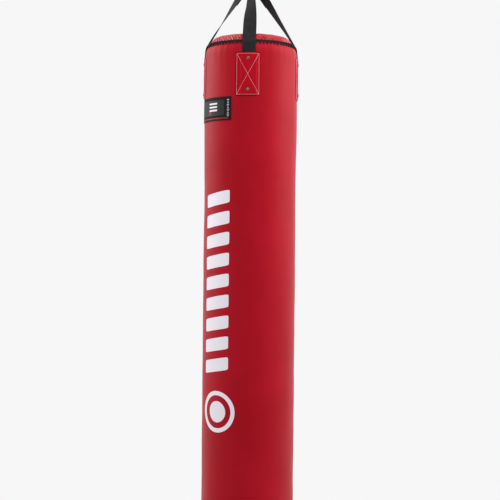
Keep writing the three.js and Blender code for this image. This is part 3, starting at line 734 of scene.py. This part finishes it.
def make_bottom():
    seam_height = BOTTOM_ARC - BAG_DROP - BOTTOM_ARC * math.sin(BOTTOM_SEAM)
    seam_radius = skin_radius(seam_height)
    rim = seam_radius - 0.0035
    shares = steps(0.03, 1.0, 26)
    both = shares + shares[::-3]
    columns = 144

    def point_at(row, column):
        angle = 2 * math.pi * column / columns
        top = row >= len(shares)
        share = both[row]
        sag = 0.0032 * smooth((share - 0.90) / 0.10)
        pucker = 0.0006 * math.cos(60 * angle) * smooth((share - 0.8) / 0.2)
        dent = 0.0008 * fixed_noise(3 * share * math.cos(angle), 3 * share * math.sin(angle), 4.0)
        height = -BAG_DROP + sag + abs(pucker) + abs(dent) + (VINYL if top else 0.0)
        return at_angle(-angle, rim * share, height)

    vertices, faces = ring_rows(len(both), columns, point_at)
    centre = len(vertices)
    vertices += [at_angle(0, 0, -BAG_DROP), at_angle(0, 0, -BAG_DROP + VINYL)]
    last = (len(both) - 1) * columns
    for column in range(columns):
        nearby = (column + 1) % columns
        faces.append((nearby, column, centre))
        faces.append((last + column, last + nearby, centre + 1))
    piece("bottom_disc", vertices, faces, RED_VINYL, "red_vinyl", stands_for=["bottom_panel"], crease=180)
    path = [at_angle(2 * math.pi * k / 240, seam_radius - 0.0008, seam_height - 0.0015) for k in range(240)]
    piece("bottom_piping", *tube(path, 0.0028, sides=12), RED_VINYL, "red_vinyl", stands_for=["bottom_welt"])
    above_seam = seam_height + 0.0075
    run = []
    for angle in steps(0, 2 * math.pi, 180):
        normal = Vector((math.cos(angle) * 0.6, math.sin(angle) * 0.6, -0.8))
        run.append((on_skin(angle, above_seam, 0.0001), normal))
    piece("bottom_seam_thread", *sewn([run], "bottom"), RED_THREAD, "red_vinyl")


# ---------- Straps ----------

def joint_axis(name):
    return Vector(JOINTS[name]["axis"]).normalized()


BAR = joint_axis("carabiner_swing")
STACK = joint_axis("bag_swing")
BAR_CENTRE = Vector(JOINTS["bag_swing"]["pos_m"])
CONVERGENCE = BAR_CENTRE.z - LACING_Z


def hang_of(azimuth):
    """Where a strap's D-ring hangs: the ring's top, the strap's loop, and the direction across both."""
    angle = math.radians(azimuth)
    outward = outward_at(angle)
    tangent = Vector((-outward.y, outward.x, 0))
    across = outward.dot(STACK)
    place = math.copysign(1.5 if abs(across) > math.sqrt(0.5) else 0.5, across)
    rim = outward * RIM_RADIUS
    lean = math.atan2(rim.dot(BAR), CONVERGENCE)

    def on_line(below, aside):
        point = STACK * aside + BAR * below * math.sin(lean)
        return Vector((point.x, point.y, BAR_CENTRE.z - below * math.cos(lean)))

    fall = math.sqrt(D_RING["height"] ** 2 - (place * (LOOP_SPACING - D_RING["pitch"])) ** 2)
    ring_top = on_line(-RING_OVER_BAR, place * D_RING["pitch"])
    loop = on_line(fall - RING_OVER_BAR, place * LOOP_SPACING)
    wide = BAR * math.cos(lean) + UP * math.sin(lean)
    return {"outward": outward, "tangent": tangent, "rim": rim + UP * LACING_Z, "top": ring_top,
            "loop": loop, "wide": wide}


def strap_stations(azimuth):
    """Stations along a strap: (middle, direction across, outward normal, how much it follows the bag)."""
    hang = hang_of(azimuth)
    outward, tangent, rim, loop = hang["outward"], hang["tangent"], hang["rim"], hang["loop"]
    wide = hang["wide"] * math.copysign(1.0, hang["wide"].dot(tangent))
    lift = STRAP_OFF_SKIN + STRAP_THICKNESS / 2 + LAYER_GAP
    follow = 1 / BAG_RADIUS
    stations = []
    for height in steps(-STRAP_END_DROP, -SHOULDER_DROP, 13):
        middle = outward * (skin_radius(height) + lift) + UP * (LACING_Z + height)
        stations.append((middle, tangent, outward, follow))

    down = rim - loop
    down -= wide * down.dot(wide)
    down.normalize()
    loop_normal = wide.cross(down).normalized()
    loop_normal *= math.copysign(1.0, loop_normal.dot(outward))
    loop_start = loop + loop_normal * LOOP_RADIUS
    run = loop_start - rim
    direction = run.normalized()

    # Over the shoulder and the lacing, in one bend that ends in the straight run.
    leave = math.radians(6)
    reach = SHOULDER_ARC + lift
    first = outward * (BAG_RADIUS - SHOULDER_ARC + reach * math.cos(leave))
    first += UP * (LACING_Z - SHOULDER_DROP + reach * math.sin(leave))
    first_way = UP * math.cos(leave) - outward * math.sin(leave)
    chord = (rim - first).length
    for share in steps(0.0, 1.0, 10)[:-1]:
        t2, t3 = share ** 2, share ** 3
        middle = first * (2 * t3 - 3 * t2 + 1) + rim * (3 * t2 - 2 * t3)
        middle += first_way * chord * (t3 - 2 * t2 + share) + direction * chord * (t3 - t2)
        way = first_way.lerp(direction, smooth(share)).normalized()
        normal = way.cross(tangent)
        normal *= math.copysign(1.0, normal.dot(outward))
        stations.append((middle, tangent, normal.normalized(), follow))

    def run_station(share):
        middle = rim + run * share
        height = middle.z - LACING_Z
        across = tangent.lerp(wide, smooth((height - TWIST[0]) / (TWIST[1] - TWIST[0])))
        across = (across - direction * across.dot(direction)).normalized()
        normal = across.cross(direction).normalized()
        normal *= math.copysign(1.0, normal.dot(outward))
        return middle, across, normal, (1 - smooth(height / 0.050)) * follow

    stations += [run_station(share) for share in steps(0.0, 1.0, 48)[:-1]]
    for turn in steps(0.0, math.pi, 14):
        normal = loop_normal * math.cos(turn) - down * math.sin(turn)
        stations.append((loop + normal * LOOP_RADIUS, wide, normal, 0.0))
    for back in steps(0.010, STRAP_TAIL, 14):
        middle, across, normal, _ = run_station(1 - back / run.length)
        apart = STRAP_THICKNESS + LAYER_GAP + 0.0046 * (1 - smooth((back - 0.002) / 0.022))
        stations.append((middle - normal * apart, across, -normal, 0.0))
    return stations, run_station, run.length


def strap_section(column, columns):
    """(place across, share of full thickness) of a column: webbing is thinner at its woven edges."""
    place = math.sin(math.pi / 2 * (2 * column / (columns - 1) - 1))
    return place * STRAP_WIDTH / 2, 1.0 - 0.45 * abs(place) ** 14


def make_strap(side, azimuth):
    stations, run_station, length = strap_stations(azimuth)
    columns = 15
    along = [0.0]
    for (a, *_), (b, *_) in zip(stations, stations[1:]):
        along.append(along[-1] + (b - a).length)
    uvs = []

    def point_at(column, row, face):
        middle, across, normal, follow = stations[row]
        aside, thick = strap_section(column, columns)
        uvs.append((aside, along[row]))
        wave = 0.0003 * fixed_noise(azimuth, along[row] * 22, aside * 30)
        rise = face * thick * STRAP_THICKNESS / 2 - follow * aside * aside / 2 + wave
        return middle + across * aside + normal * rise

    vertices, faces = sheet(columns, len(stations), point_at)
    piece(f"webbing_{side}", vertices, faces, WEBBING, "black_webbing", stands_for=[f"strap_{side}"], uvs=uvs)

    # The doubled end is sewn in a box with a cross, through both layers.
    low, high, half = 0.022, 0.068, STRAP_WIDTH / 2 - 0.005
    corners = [(low, -half), (low, half), (high, half), (high, -half), (low, -half)]
    lines = list(zip(corners, corners[1:])) + [(corners[0], corners[2]), (corners[1], corners[3])]
    runs = []
    for face in (1, -1):
        off = STRAP_THICKNESS / 2 if face > 0 else -(1.5 * STRAP_THICKNESS + LAYER_GAP)
        for start, end in lines:
            run = []
            for back, aside in between(start, end, 12):
                middle, across, normal, _ = run_station(1 - back / length)
                run.append((middle + across * aside + normal * off, normal * face))
            runs.append(run)
    piece(f"webbing_{side}_thread", *sewn(runs, "strap"), BLACK_THREAD, "black_webbing")


# ---------- Patches, rivets ----------

def to_line(x, y, start, end):
    """Distance from a point to a straight stretch, in the patch's own plane."""
    ax, ay = start
    bx, by = end
    length = (bx - ax) ** 2 + (by - ay) ** 2
    share = min(max(((x - ax) * (bx - ax) + (y - ay) * (by - ay)) / length, 0.0), 1.0)
    return math.hypot(x - lerp(ax, bx, share), y - lerp(ay, by, share))


def patch_lines():
    half, top, bottom = PATCH_SEWN["half"], PATCH_SEWN["top"], PATCH_SEWN["bottom"]
    corners = [(-half, top), (half, top), (half, bottom), (-half, bottom)]
    return sides_of(corners) + [(corners[0], corners[2]), (corners[1], corners[3])]


def patch_lift(aside, height, strap_aside):
    """How far the patch's outer face stands off the skin: up over the strap and down into the seams."""
    over = 1 - smooth((abs(aside - strap_aside) - STRAP_WIDTH / 2) / 0.0075)
    over *= smooth((height + STRAP_END_DROP + 0.007) / 0.007)
    seams = [to_line(aside, height, *line) for line in patch_lines()]
    sunk = sum(0.0006 * math.exp(-(distance / 0.0022) ** 2) for distance in seams)
    return 0.0008 + PATCH["thickness"] + 0.0028 * over - min(sunk, 0.0009)


def patch_point(azimuth, aside, height, lift):
    angle = math.radians(azimuth) + aside / BAG_RADIUS
    return on_skin(angle, height, lift)


def make_patch(side, azimuth):
    columns, rows = 49, 81
    corner = PATCH["corner"]
    strap_aside = -math.radians(SEWN_ASIDE[side]) * BAG_RADIUS

    def on_patch(aside, height, sunk=0.0):
        lift = patch_lift(aside, height, strap_aside) - sunk
        return patch_point(azimuth + SEWN_ASIDE[side], aside, height, lift)

    def point_at(column, row, face):
        height = lerp(PATCH["bottom"], PATCH["top"], row / (rows - 1))
        edge_shadow = min(height - PATCH["bottom"], PATCH["top"] - height)
        half = PATCH["width"] / 2 - arc_inset(corner, max(corner - edge_shadow, 0.0))
        aside = half * (2 * column / (columns - 1) - 1)
        rim = min(edge_shadow, half - abs(aside))
        turned_down = 0.0009 * (1 - smooth(rim / 0.002))
        return on_patch(aside, height, turned_down if face > 0 else PATCH["thickness"])

    vertices, faces = sheet(columns, rows, point_at)
    node = f"patch_{side}"
    piece(f"vinyl_patch_{side}", vertices, faces, PATCH_VINYL, "red_patch_vinyl", stands_for=[node])

    # A dark tube along the patch's cut edge is a painted shadow line where the patch meets the bag.
    right, upper, lower = PATCH["width"] / 2 - corner, PATCH["top"] - corner, PATCH["bottom"] + corner
    outline = [
        *arc(right, upper, corner, 0, 90, 5), *arc(-right, upper, corner, 90, 180, 5),
        *arc(-right, lower, corner, 180, 270, 5), *arc(right, lower, corner, 270, 360, 5),
    ]
    edge_shadow = []
    for (ax, ay), (bx, by) in sides_of(outline):
        count = max(1, round(math.hypot(bx - ax, by - ay) / 0.004))
        edge_shadow += [(lerp(ax, bx, k / count), lerp(ay, by, k / count)) for k in range(count)]
    path = [on_patch(aside, height, 0.0013) for aside, height in edge_shadow]
    piece(f"vinyl_patch_{side}_edge", *tube(path, 0.0009, sides=8), PATCH_EDGE_SHADE, "red_patch_vinyl")

    out = outward_at(math.radians(azimuth))
    runs = [[(on_patch(*place), out) for place in between(*line, 20)] for line in patch_lines()]
    piece(f"vinyl_patch_{side}_thread", *sewn(runs, "patch"), PALE_THREAD, "red_patch_vinyl")


def make_rivet(side, azimuth, level):
    node = f"rivet_{side}_{level}"
    low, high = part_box(node)
    middle = (Vector(low) + Vector(high)) / 2
    angle = math.radians(azimuth + SEWN_ASIDE[side])
    out = outward_at(angle)
    across = Vector((-out.y, out.x, 0))
    tip = max(abs(Vector(low).dot(out)), abs(Vector(high).dot(out)))
    centre = Vector((0, 0, middle.z))
    base = tip - 0.0021
    tail = min(abs(Vector(low).dot(out)), abs(Vector(high).dot(out)))
    # A rolled rim, a groove inside it and a low crown.
    profile = [
        (0.0, tail), (0.0025, tail), (0.0025, base + 0.0002), (0.0056, base), (0.0061, base + 0.0004),
        (0.0062, base + 0.0009), (0.0058, base + 0.0014), (0.0051, base + 0.0015), (0.0044, base + 0.0006),
    ]
    dome = []
    for turn in steps(0.0, 1.5, 12):
        dome.append((0.0036 * math.cos(turn), base + 0.0002 + 0.0019 * math.sin(turn)))
    vertices, faces = turned([*profile, *dome, (0.0, base + 0.0021)], 40, centre, out, across)
    piece(f"rivet_head_{side}_{level}", vertices, faces, RIVET_METAL, "rivet_steel", stands_for=[node])


# ---------- Label and print ----------

def skin_shape(name, columns, rows, plane_at, middle, finish, slot, lift=INK_LIFT):
    """A thin printed or applied shape; plane_at(column, row) gives (aside, height) on the skin."""
    def point_at(column, row, face):
        aside, height = plane_at(column, row)
        return on_skin(middle + aside / BAG_RADIUS, height, lift + (INK_THICK if face > 0 else 0.0))

    vertices, faces = sheet(columns, rows, point_at)
    return piece(name, vertices, faces, finish, slot)


LABEL_MIDDLE = math.radians((LABEL["from"] + LABEL["to"]) / 2)
LABEL_HALF = math.radians(LABEL["to"] - LABEL["from"]) / 2 * BAG_RADIUS
LABEL_CENTRE = (LABEL["top"] + LABEL["bottom"]) / 2


def make_label():
    columns, rows = 49, 25
    top, bottom = LABEL["top"], LABEL["bottom"]

    def point_at(column, row, face):
        aside = LABEL_HALF * (2 * column / (columns - 1) - 1)
        height = lerp(bottom, top, row / (rows - 1))
        hem = min(LABEL_HALF - abs(aside), height - bottom, top - height)
        ridge = 0.0002 * (1 - smooth((hem - 0.004) / 0.002))
        lift = 0.0003 + (0.0009 + ridge if face > 0 else 0.0)
        return on_skin(LABEL_MIDDLE + aside / BAG_RADIUS, height, lift)

    vertices, faces = sheet(columns, rows, point_at)
    piece("sewn_label", vertices, faces, LABEL_CLOTH, "black_label", stands_for=["side_label"])

    inset = 0.0035
    half = LABEL_HALF - inset
    corners = [(-half, top - inset), (half, top - inset), (half, bottom + inset), (-half, bottom + inset)]

    def on_hem(aside, height):
        angle = LABEL_MIDDLE + aside / BAG_RADIUS
        return on_skin(angle, height, 0.0013), outward_at(angle)

    runs = [[on_hem(*place) for place in between(*line, 24)] for line in sides_of(corners)]
    piece("sewn_label_thread", *sewn(runs, "label"), BLACK_THREAD, "black_label")
    make_label_print()


def printed_ring(name, inner, outer, points):
    """A flat white ring of the emblem, or nearly a full disc where inner is very small."""
    rows = 7

    def point_at(row, column):
        down = row >= rows
        turn = 2 * math.pi * column / points
        radius = lerp(inner, outer, (rows * 2 - 1 - row if down else row) / (rows - 1))
        angle = EMBLEM_MIDDLE - radius * math.cos(turn) / BAG_RADIUS
        lift = INK_LIFT + (0.0 if down else INK_THICK)
        return on_skin(angle, EMBLEM_HEIGHT + radius * math.sin(turn), lift)

    vertices, faces = ring_rows(rows * 2, points, point_at, closed=True)
    piece(name, vertices, faces, WHITE_INK, "red_vinyl")


def label_bar(name, centre, size, finish, lift):
    """A plain printed bar on the label; centre and size are (aside, height)."""
    def plane_at(column, row):
        return centre[0] + size[0] / 2 * (column / 6 - 1), centre[1] + size[1] / 2 * (row - 1)

    skin_shape(name, 13, 3, plane_at, LABEL_MIDDLE, finish, "black_label", lift)


def make_label_print():
    """A made-up plain pattern: a grey panel with pale bars, a red square and band, dashes at one side."""
    on_cloth, on_panel = 0.0014, 0.0017
    label_bar("label_panel", (-0.008, LABEL_CENTRE + 0.004), (0.150, 0.058), LABEL_GREY, on_cloth)
    for number in range(3):
        centre = (0.009, LABEL_CENTRE + 0.020 - 0.0125 * number)
        label_bar(f"label_bar_{number}", centre, (0.046, 0.0062), WHITE_INK, on_panel)
    label_bar("label_square", (-0.008, LABEL_CENTRE - 0.016), (0.012, 0.012), LABEL_RED, on_panel)
    for number in range(11):
        height = lerp(LABEL["top"] - 0.012, LABEL["bottom"] + 0.016, number / 10)
        size = (0.0060 if number % 3 else 0.0090, 0.0018)
        label_bar(f"label_dash_{number}", (LABEL_HALF - 0.013, height), size, WHITE_INK, on_cloth)
    band = (2 * LABEL_HALF - 0.026, 0.0044)
    label_bar("label_band", (0.0, LABEL["bottom"] + 0.0085), band, LABEL_RED, on_cloth)


PRINT_MIDDLE = math.radians(-132.7)
EMBLEM_MIDDLE = math.radians(-128.7)
EMBLEM_HEIGHT = -1.393


def make_print():
    """Plain slanted bars in a column with a ringed disc below, where the real bag has its lettering."""
    count, top, bottom = 9, -0.553, -1.258
    pitch = (top - bottom) / count
    slant = 0.020
    for number in range(count):
        middle_height = top - pitch * (number + 0.5)
        half_height = pitch * 0.31

        def plane_at(column, row, h=middle_height, tall=half_height):
            across = 2 * column / 24 - 1
            up = 2 * row / 8 - 1
            rounding = 1 - 0.10 * abs(across) ** 10
            return 0.062 * across * (1 - 0.02 * abs(up) ** 8), h + tall * up * rounding + slant * across / 2

        skin_shape(f"print_bar_{number}", 25, 9, plane_at, PRINT_MIDDLE, WHITE_INK, "red_vinyl")
    printed_ring("print_ring", 0.062, 0.078, 96)
    printed_ring("print_disc", 0.0005, 0.040, 72)


# ---------- D-rings, carabiner, swivel ----------

def make_d_ring(side, azimuth):
    hang = hang_of(azimuth)
    half, corner, height = D_RING["width"] / 2, D_RING["corner"], D_RING["height"]
    outline = [
        *arc(half - corner, corner, corner, -90, 0, 8),
        *arc(0, height - half, half, 0, 180, 48),
        *arc(-half + corner, corner, corner, 180, 270, 8),
        *[(x, 0.0) for x in steps(-half + corner, half - corner, 12)[1:-1]],
    ]
    up = (hang["top"] - hang["loop"]).normalized()
    through = up.cross(hang["wide"]).normalized()
    bar = through.cross(up)
    path = [hang["loop"] + bar * x + up * z for x, z in outline]
    vertices, faces = tube(path, D_RING["wire"], sides=20, start=through)
    # The wire's ends meet in a weld on the straight bar.
    weld = [
        (0.0, -0.0016), (0.0032, -0.0014), (0.0034, -0.0005),
        (0.0034, 0.0005), (0.0032, 0.0014), (0.0, 0.0016),
    ]
    weld_mesh = turned(weld, 20, hang["loop"] + bar * half * 0.55, bar, through)
    mesh = merged([(vertices, faces), weld_mesh])
    piece(f"welded_ring_{side}", *mesh, ZINC, "zinc_steel", stands_for=[f"d_ring_{side}"])


CARABINER = {"wire": 0.005, "half": 0.024, "corner": 0.011, "bow": 0.016, "height": 0.105}
GATE = {"bottom": 0.023, "top": 0.071, "pivot": 0.077, "radius": 0.0042, "tongue": 0.0034, "slot": 0.0042}
PIN_RADIUS = 0.0015


def carabiner_side(z):
    low, high = CARABINER["corner"], CARABINER["height"] - CARABINER["bow"]
    return lerp(CARABINER["half"], CARABINER["bow"], (z - low) / (high - low))


def in_carabiner(x, z, through=0.0):
    """A point in the carabiner's own plane: x along the stack, z up from its lower bar's middle."""
    return BAR_CENTRE + STACK * x + UP * z + BAR * through


def hardware(name, mesh, body, node, crease):
    piece(name, *mesh, ZINC, "zinc_steel", body=body, stands_for=[node], crease=crease)


def make_carabiner():
    corner, half, bow, height = (CARABINER[key] for key in ("corner", "half", "bow", "height"))
    nose = GATE["bottom"] - 0.0006
    end = GATE["top"] + 0.003
    pivot_x = -carabiner_side(GATE["pivot"])
    path = [
        *[(-carabiner_side(z), z) for z in steps(nose, corner, 4)[:-1]],
        *arc(-half + corner, corner, corner, 180, 270, 14),
        *arc(half - corner, corner, corner, 270, 360, 14),
        *arc(0, height - bow, bow, 0, 180, 36),
        *[(-carabiner_side(z), z) for z in steps(height - bow, end, 6)[1:]],
    ]
    own_axes = (STACK, BAR, UP)
    line = [in_carabiner(x, z) for x, z in path]
    body = tube(line, CARABINER["wire"], sides=28, closed=False, start=BAR)
    slot = block(in_carabiner(pivot_x, GATE["pivot"] - 0.001), (0.014, GATE["slot"], 0.012), own_axes)
    body = carved(body, ("DIFFERENCE", slot))
    hardware("carabiner_frame", body, "carabiner", "carabiner_body", 35)

    low, high = GATE["bottom"], GATE["top"]
    line = [in_carabiner(-carabiner_side(z), z) for z in steps(low, high, 8)]
    bar = tube(line, GATE["radius"], sides=28, closed=False, start=BAR)
    tongue_low, tongue_high = high - 0.003, GATE["pivot"] + 0.003
    tongue = block(
        in_carabiner(pivot_x, (tongue_low + tongue_high) / 2),
        (0.007, GATE["tongue"], tongue_high - tongue_low), own_axes,
    )
    gate = carved(bar, ("UNION", tongue))
    hardware("carabiner_latch", gate, "gate", "carabiner_gate", 35)
    head = CARABINER["wire"] + 0.0002
    pin = [(0.0, -head), (0.0022, -head), (0.0026, -head + 0.0006), (PIN_RADIUS, -head + 0.0010),
           (PIN_RADIUS, head - 0.0010), (0.0026, head - 0.0006), (0.0022, head), (0.0, head)]
    vertices, faces = turned(pin, 20, in_carabiner(pivot_x, GATE["pivot"]), BAR, STACK)
    piece(
        "latch_rivet", vertices, faces, RIVET_METAL, "zinc_steel",
        body="carabiner", stands_for=["gate_pin"],
    )


def torus(centre, ring, wire, axis, across):
    side = axis.cross(across)
    turns = steps(0, 2 * math.pi, 72)[:-1]
    path = [centre + (across * math.cos(turn) + side * math.sin(turn)) * ring for turn in turns]
    return tube(path, wire, sides=24, start=axis)


def make_swivel():
    _, top_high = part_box("swivel_top_eye")
    house_low, house_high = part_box("swivel_housing")
    lower_low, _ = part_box("swivel_lower_eye")
    radius = 0.022
    cap_low = house_high[2] + 0.0003
    cap = turned([
        (0.0, cap_low), (radius - 0.0006, cap_low), (radius, cap_low + 0.0006), (radius, cap_low + 0.0045),
        (radius - 0.001, cap_low + 0.0064), (radius - 0.0035, cap_low + 0.0078),
        (0.0110, cap_low + 0.0084), (0.0085, cap_low + 0.0098), (0.0, cap_low + 0.0098),
    ], 64)
    ring, wire = 0.0215, 0.0055
    centre = Vector((0, 0, top_high[2] - ring - wire))
    eye = torus(centre, ring, wire, -Y_WAY, X_WAY)
    trim = block(Vector((0, 0, cap_low - 0.02 + 0.001)), (0.08, 0.08, 0.04), (X_WAY, Y_WAY, UP))
    eye = carved(eye, ("DIFFERENCE", trim))
    top = carved(cap, ("UNION", eye))
    hardware("swivel_top", top, "hanger", "swivel_top_eye", 40)

    low, high = house_low[2], house_high[2]
    hole, bore, floor = 0.0077, 0.017, 0.006
    outside = [(hole, low), (radius - 0.0035, low), (radius - 0.0012, low + 0.0009), (radius, low + 0.0030)]
    grooves = []
    for z in (low + 0.010, high - 0.008):
        grooves += [(radius, z - 0.0012), (radius - 0.0008, z - 0.0005)]
        grooves += [(radius - 0.0008, z + 0.0005), (radius, z + 0.0012)]
    inside = [(radius, high - 0.0004), (radius - 0.0004, high), (bore, high)]
    inside += [(bore, low + floor), (hole, low + floor)]
    cup = turned_wall(outside + grooves + inside, 64)
    hardware("swivel_cup", cup, "hanger", "swivel_housing", 35)

    eye_ring, eye_wire, shank = 0.020, 0.005, 0.0072
    centre = Vector((0, 0, lower_low[2] + eye_ring + eye_wire))
    eye = torus(centre, eye_ring, eye_wire, STACK, BAR)
    neck = centre.z + eye_ring
    collar = low - 0.0003
    top_z = high - 0.004
    stem = turned([
        (0.0, neck - 0.002), (0.0070, neck - 0.002), (0.0082, neck + 0.001), (0.0105, collar - 0.0045),
        (0.0112, collar - 0.0030), (0.0112, collar - 0.0006), (0.0106, collar), (shank, collar),
        (shank, top_z - 0.0008), (shank - 0.0008, top_z), (0.0, top_z),
    ], 56)
    lower = carved(eye, ("UNION", stem))
    hardware("swivel_eyebolt", lower, "swivel_lower", "swivel_lower_eye", 40)
    for node in ("swivel_nut", "bearing_upper_race", "bearing_balls", "bearing_lower_race"):
        repaint(node, ZINC)


def repaint(node, finish):
    materials = frame["nodes"][node].data.materials
    materials.clear()
    materials.append(finish)


# ---------- Filling ----------

def lumpy_wall(name, outline, finish, slot, node, lump):
    """A soft closed ring from (radius, height) pairs, with its surface a little uneven."""
    columns = 96

    def point_at(row, column):
        radius, height = outline[row]
        angle = -2 * math.pi * column / columns
        uneven = lump * fixed_noise(14 * math.cos(angle), 14 * math.sin(angle), 30 * height)
        return at_angle(angle, radius + min(uneven, 0.0), height)

    vertices, faces = ring_rows(len(outline), columns, point_at, closed=True)
    made = piece(name, vertices, faces, finish, slot, stands_for=[node])


def lumpy_disc(name, node, radius, finish, slot, lump):
    low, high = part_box(node)
    tall = high[2] - low[2]
    edge_shadow = min(0.004, tall / 3)
    outline = [(0.0, 0.0)] + [(radius * share, 0.0) for share in steps(0.1, 0.9, 8)]
    outline += [(radius - edge_shadow, 0.0), (radius - edge_shadow * 0.3, edge_shadow * 0.3), (radius, edge_shadow)]
    rise = steps(edge_shadow, tall - edge_shadow, max(2, int(tall / 0.02)))
    outline += [(radius, z) for z in rise[1:]]
    outline += [(radius - edge_shadow * 0.3, tall - edge_shadow * 0.3), (radius - edge_shadow, tall)]
    outline += [(radius * share, tall) for share in steps(0.9, 0.1, 8)] + [(0.0, tall)]
    vertices, faces = turned(outline, 96, Vector((0, 0, low[2])))
    centre = Vector((0, 0, (low[2] + high[2]) / 2))
    for k, vertex in enumerate(vertices):
        from_axis = Vector((vertex.x, vertex.y, 0))
        uneven = lump * (0.5 + 0.5 * noise.noise(vertex * 26))
        inward = from_axis.normalized() * uneven
        vertices[k] = vertex - inward - UP * math.copysign(uneven, vertex.z - centre.z)
    made = piece(name, vertices, faces, finish, slot, stands_for=[node])


def make_filling():
    low, high = (corner[2] - LACING_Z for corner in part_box("foam_liner"))
    heights = steps(low, high, 70)
    relieved = 0.0062
    outer = [(skin_radius(height) - relieved, height) for height in heights]
    inner = [(skin_radius(height) - relieved - 0.0125, height) for height in heights[::-6] + [low]]
    lumpy_wall("foam_sleeve", outer[::-1] + inner[::-1], FOAM, "foam", "foam_liner", 0.0010)
    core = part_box("fill_core")[1][0] - 0.0035
    lumpy_disc("textile_core", "fill_core", core, RAGS, "textile_fill", 0.0030)
    lumpy_disc("upper_pad", "top_pad", 0.140, FOAM, "foam", 0.0006)
    lumpy_disc("lower_pad", "bottom_pad", 0.136, FOAM, "foam", 0.0006)
    for side in STRAP_ANGLES:
        for level in ("upper", "lower"):
            repaint(f"washer_{side}_{level}", ZINC)


# ---------- Stage ----------

VIEW_AZIMUTH = math.radians(2.74)
VIEW_DISTANCE = 4.835
VIEW_HEIGHT = -1.2630
VIEW_ASIDE = 0.0024
VIEW_ROLL = math.radians(0.55)
LIGHTS_CENTRE = Vector((0, 0, -1.2))
FLOOR_BELOW_BAG = 0.42


def make_camera():
    back = Vector((math.sin(VIEW_AZIMUTH), -math.cos(VIEW_AZIMUTH), 0))
    right = Vector((math.cos(VIEW_AZIMUTH), math.sin(VIEW_AZIMUTH), 0))
    camera = bpy.data.objects.new("camera", bpy.data.cameras.new("camera"))
    bpy.context.scene.collection.objects.link(camera)
    camera.data.lens = 90
    camera.data.sensor_width = 36
    camera.location = back * VIEW_DISTANCE + right * VIEW_ASIDE + UP * VIEW_HEIGHT
    look = (-back).to_track_quat("-Z", "Y")
    camera.rotation_mode = "QUATERNION"
    camera.rotation_quaternion = look @ Matrix.Rotation(VIEW_ROLL, 3, "Z").to_quaternion()
    bpy.context.scene.camera = camera


def add_light(name, azimuth, elevation, distance, size, power):
    data = bpy.data.lights.new(name, "AREA")
    data.shape = "RECTANGLE"
    data.size, data.size_y = size
    data.energy = power
    lamp = bpy.data.objects.new(name, data)
    bpy.context.scene.collection.objects.link(lamp)
    a, e = math.radians(azimuth), math.radians(elevation)
    away = Vector((math.sin(a) * math.cos(e), -math.cos(a) * math.cos(e), math.sin(e)))
    lamp.location = LIGHTS_CENTRE + away * distance
    lamp.rotation_mode = "QUATERNION"
    lamp.rotation_quaternion = (-away).to_track_quat("-Z", "Y")
    lamp.visible_camera = False


def make_stage():
    world = bpy.data.worlds.new("studio")
    bpy.context.scene.world = world
    world.use_nodes = True
    background = world.node_tree.nodes["Background"]
    background.inputs["Color"].default_value = (0.93, 0.93, 0.93, 1.0)
    background.inputs["Strength"].default_value = 1.0
    add_light("soft_right", 92, 28, 3.2, (2.2, 2.4), 100)
    add_light("soft_left", -103, 28, 3.2, (2.0, 2.4), 80)
    add_light("soft_top", 25, 56, 2.7, (2.2, 2.2), 34)

    floor_z = LACING_Z - BAG_DROP - FLOOR_BELOW_BAG
    rings = [0.02, 0.6, 1.2, 1.7, 1.95]
    columns = 96

    def point_at(row, column):
        angle = -2 * math.pi * column / columns
        return Vector((rings[row] * math.cos(angle), rings[row] * math.sin(angle), floor_z))

    vertices, faces = ring_rows(len(rings), columns, point_at)
    vertices.append(Vector((0, 0, floor_z)))
    faces += [(column, (column + 1) % columns, len(vertices) - 1) for column in range(columns)]
    mesh = bpy.data.meshes.new("floor")
    mesh.from_pydata(vertices, [], faces)
    floor = bpy.data.objects.new("floor", mesh)
    bpy.context.scene.collection.objects.link(floor)
    look = Finish("pale_floor", {"Roughness": 0.9, "Specular IOR Level": 0.1})
    colour = look.blend(look.noise(2.0), paint(186, 186, 186), paint(190, 190, 190))
    mesh.materials.append(look.finish(colour))
    bpy.context.scene.view_settings.view_transform = "Standard"


# ---------- Assembly ----------

make_camera()
make_stage()
make_shell()
make_back_seam()
make_cover()
make_lacing()
make_bottom()
for side, azimuth in STRAP_ANGLES.items():
    make_strap(side, azimuth)
    make_patch(side, azimuth)
    make_d_ring(side, azimuth)
    for level in ("upper", "lower"):
        make_rivet(side, azimuth, level)
make_label()
make_print()
make_carabiner()
make_swivel()
make_filling()
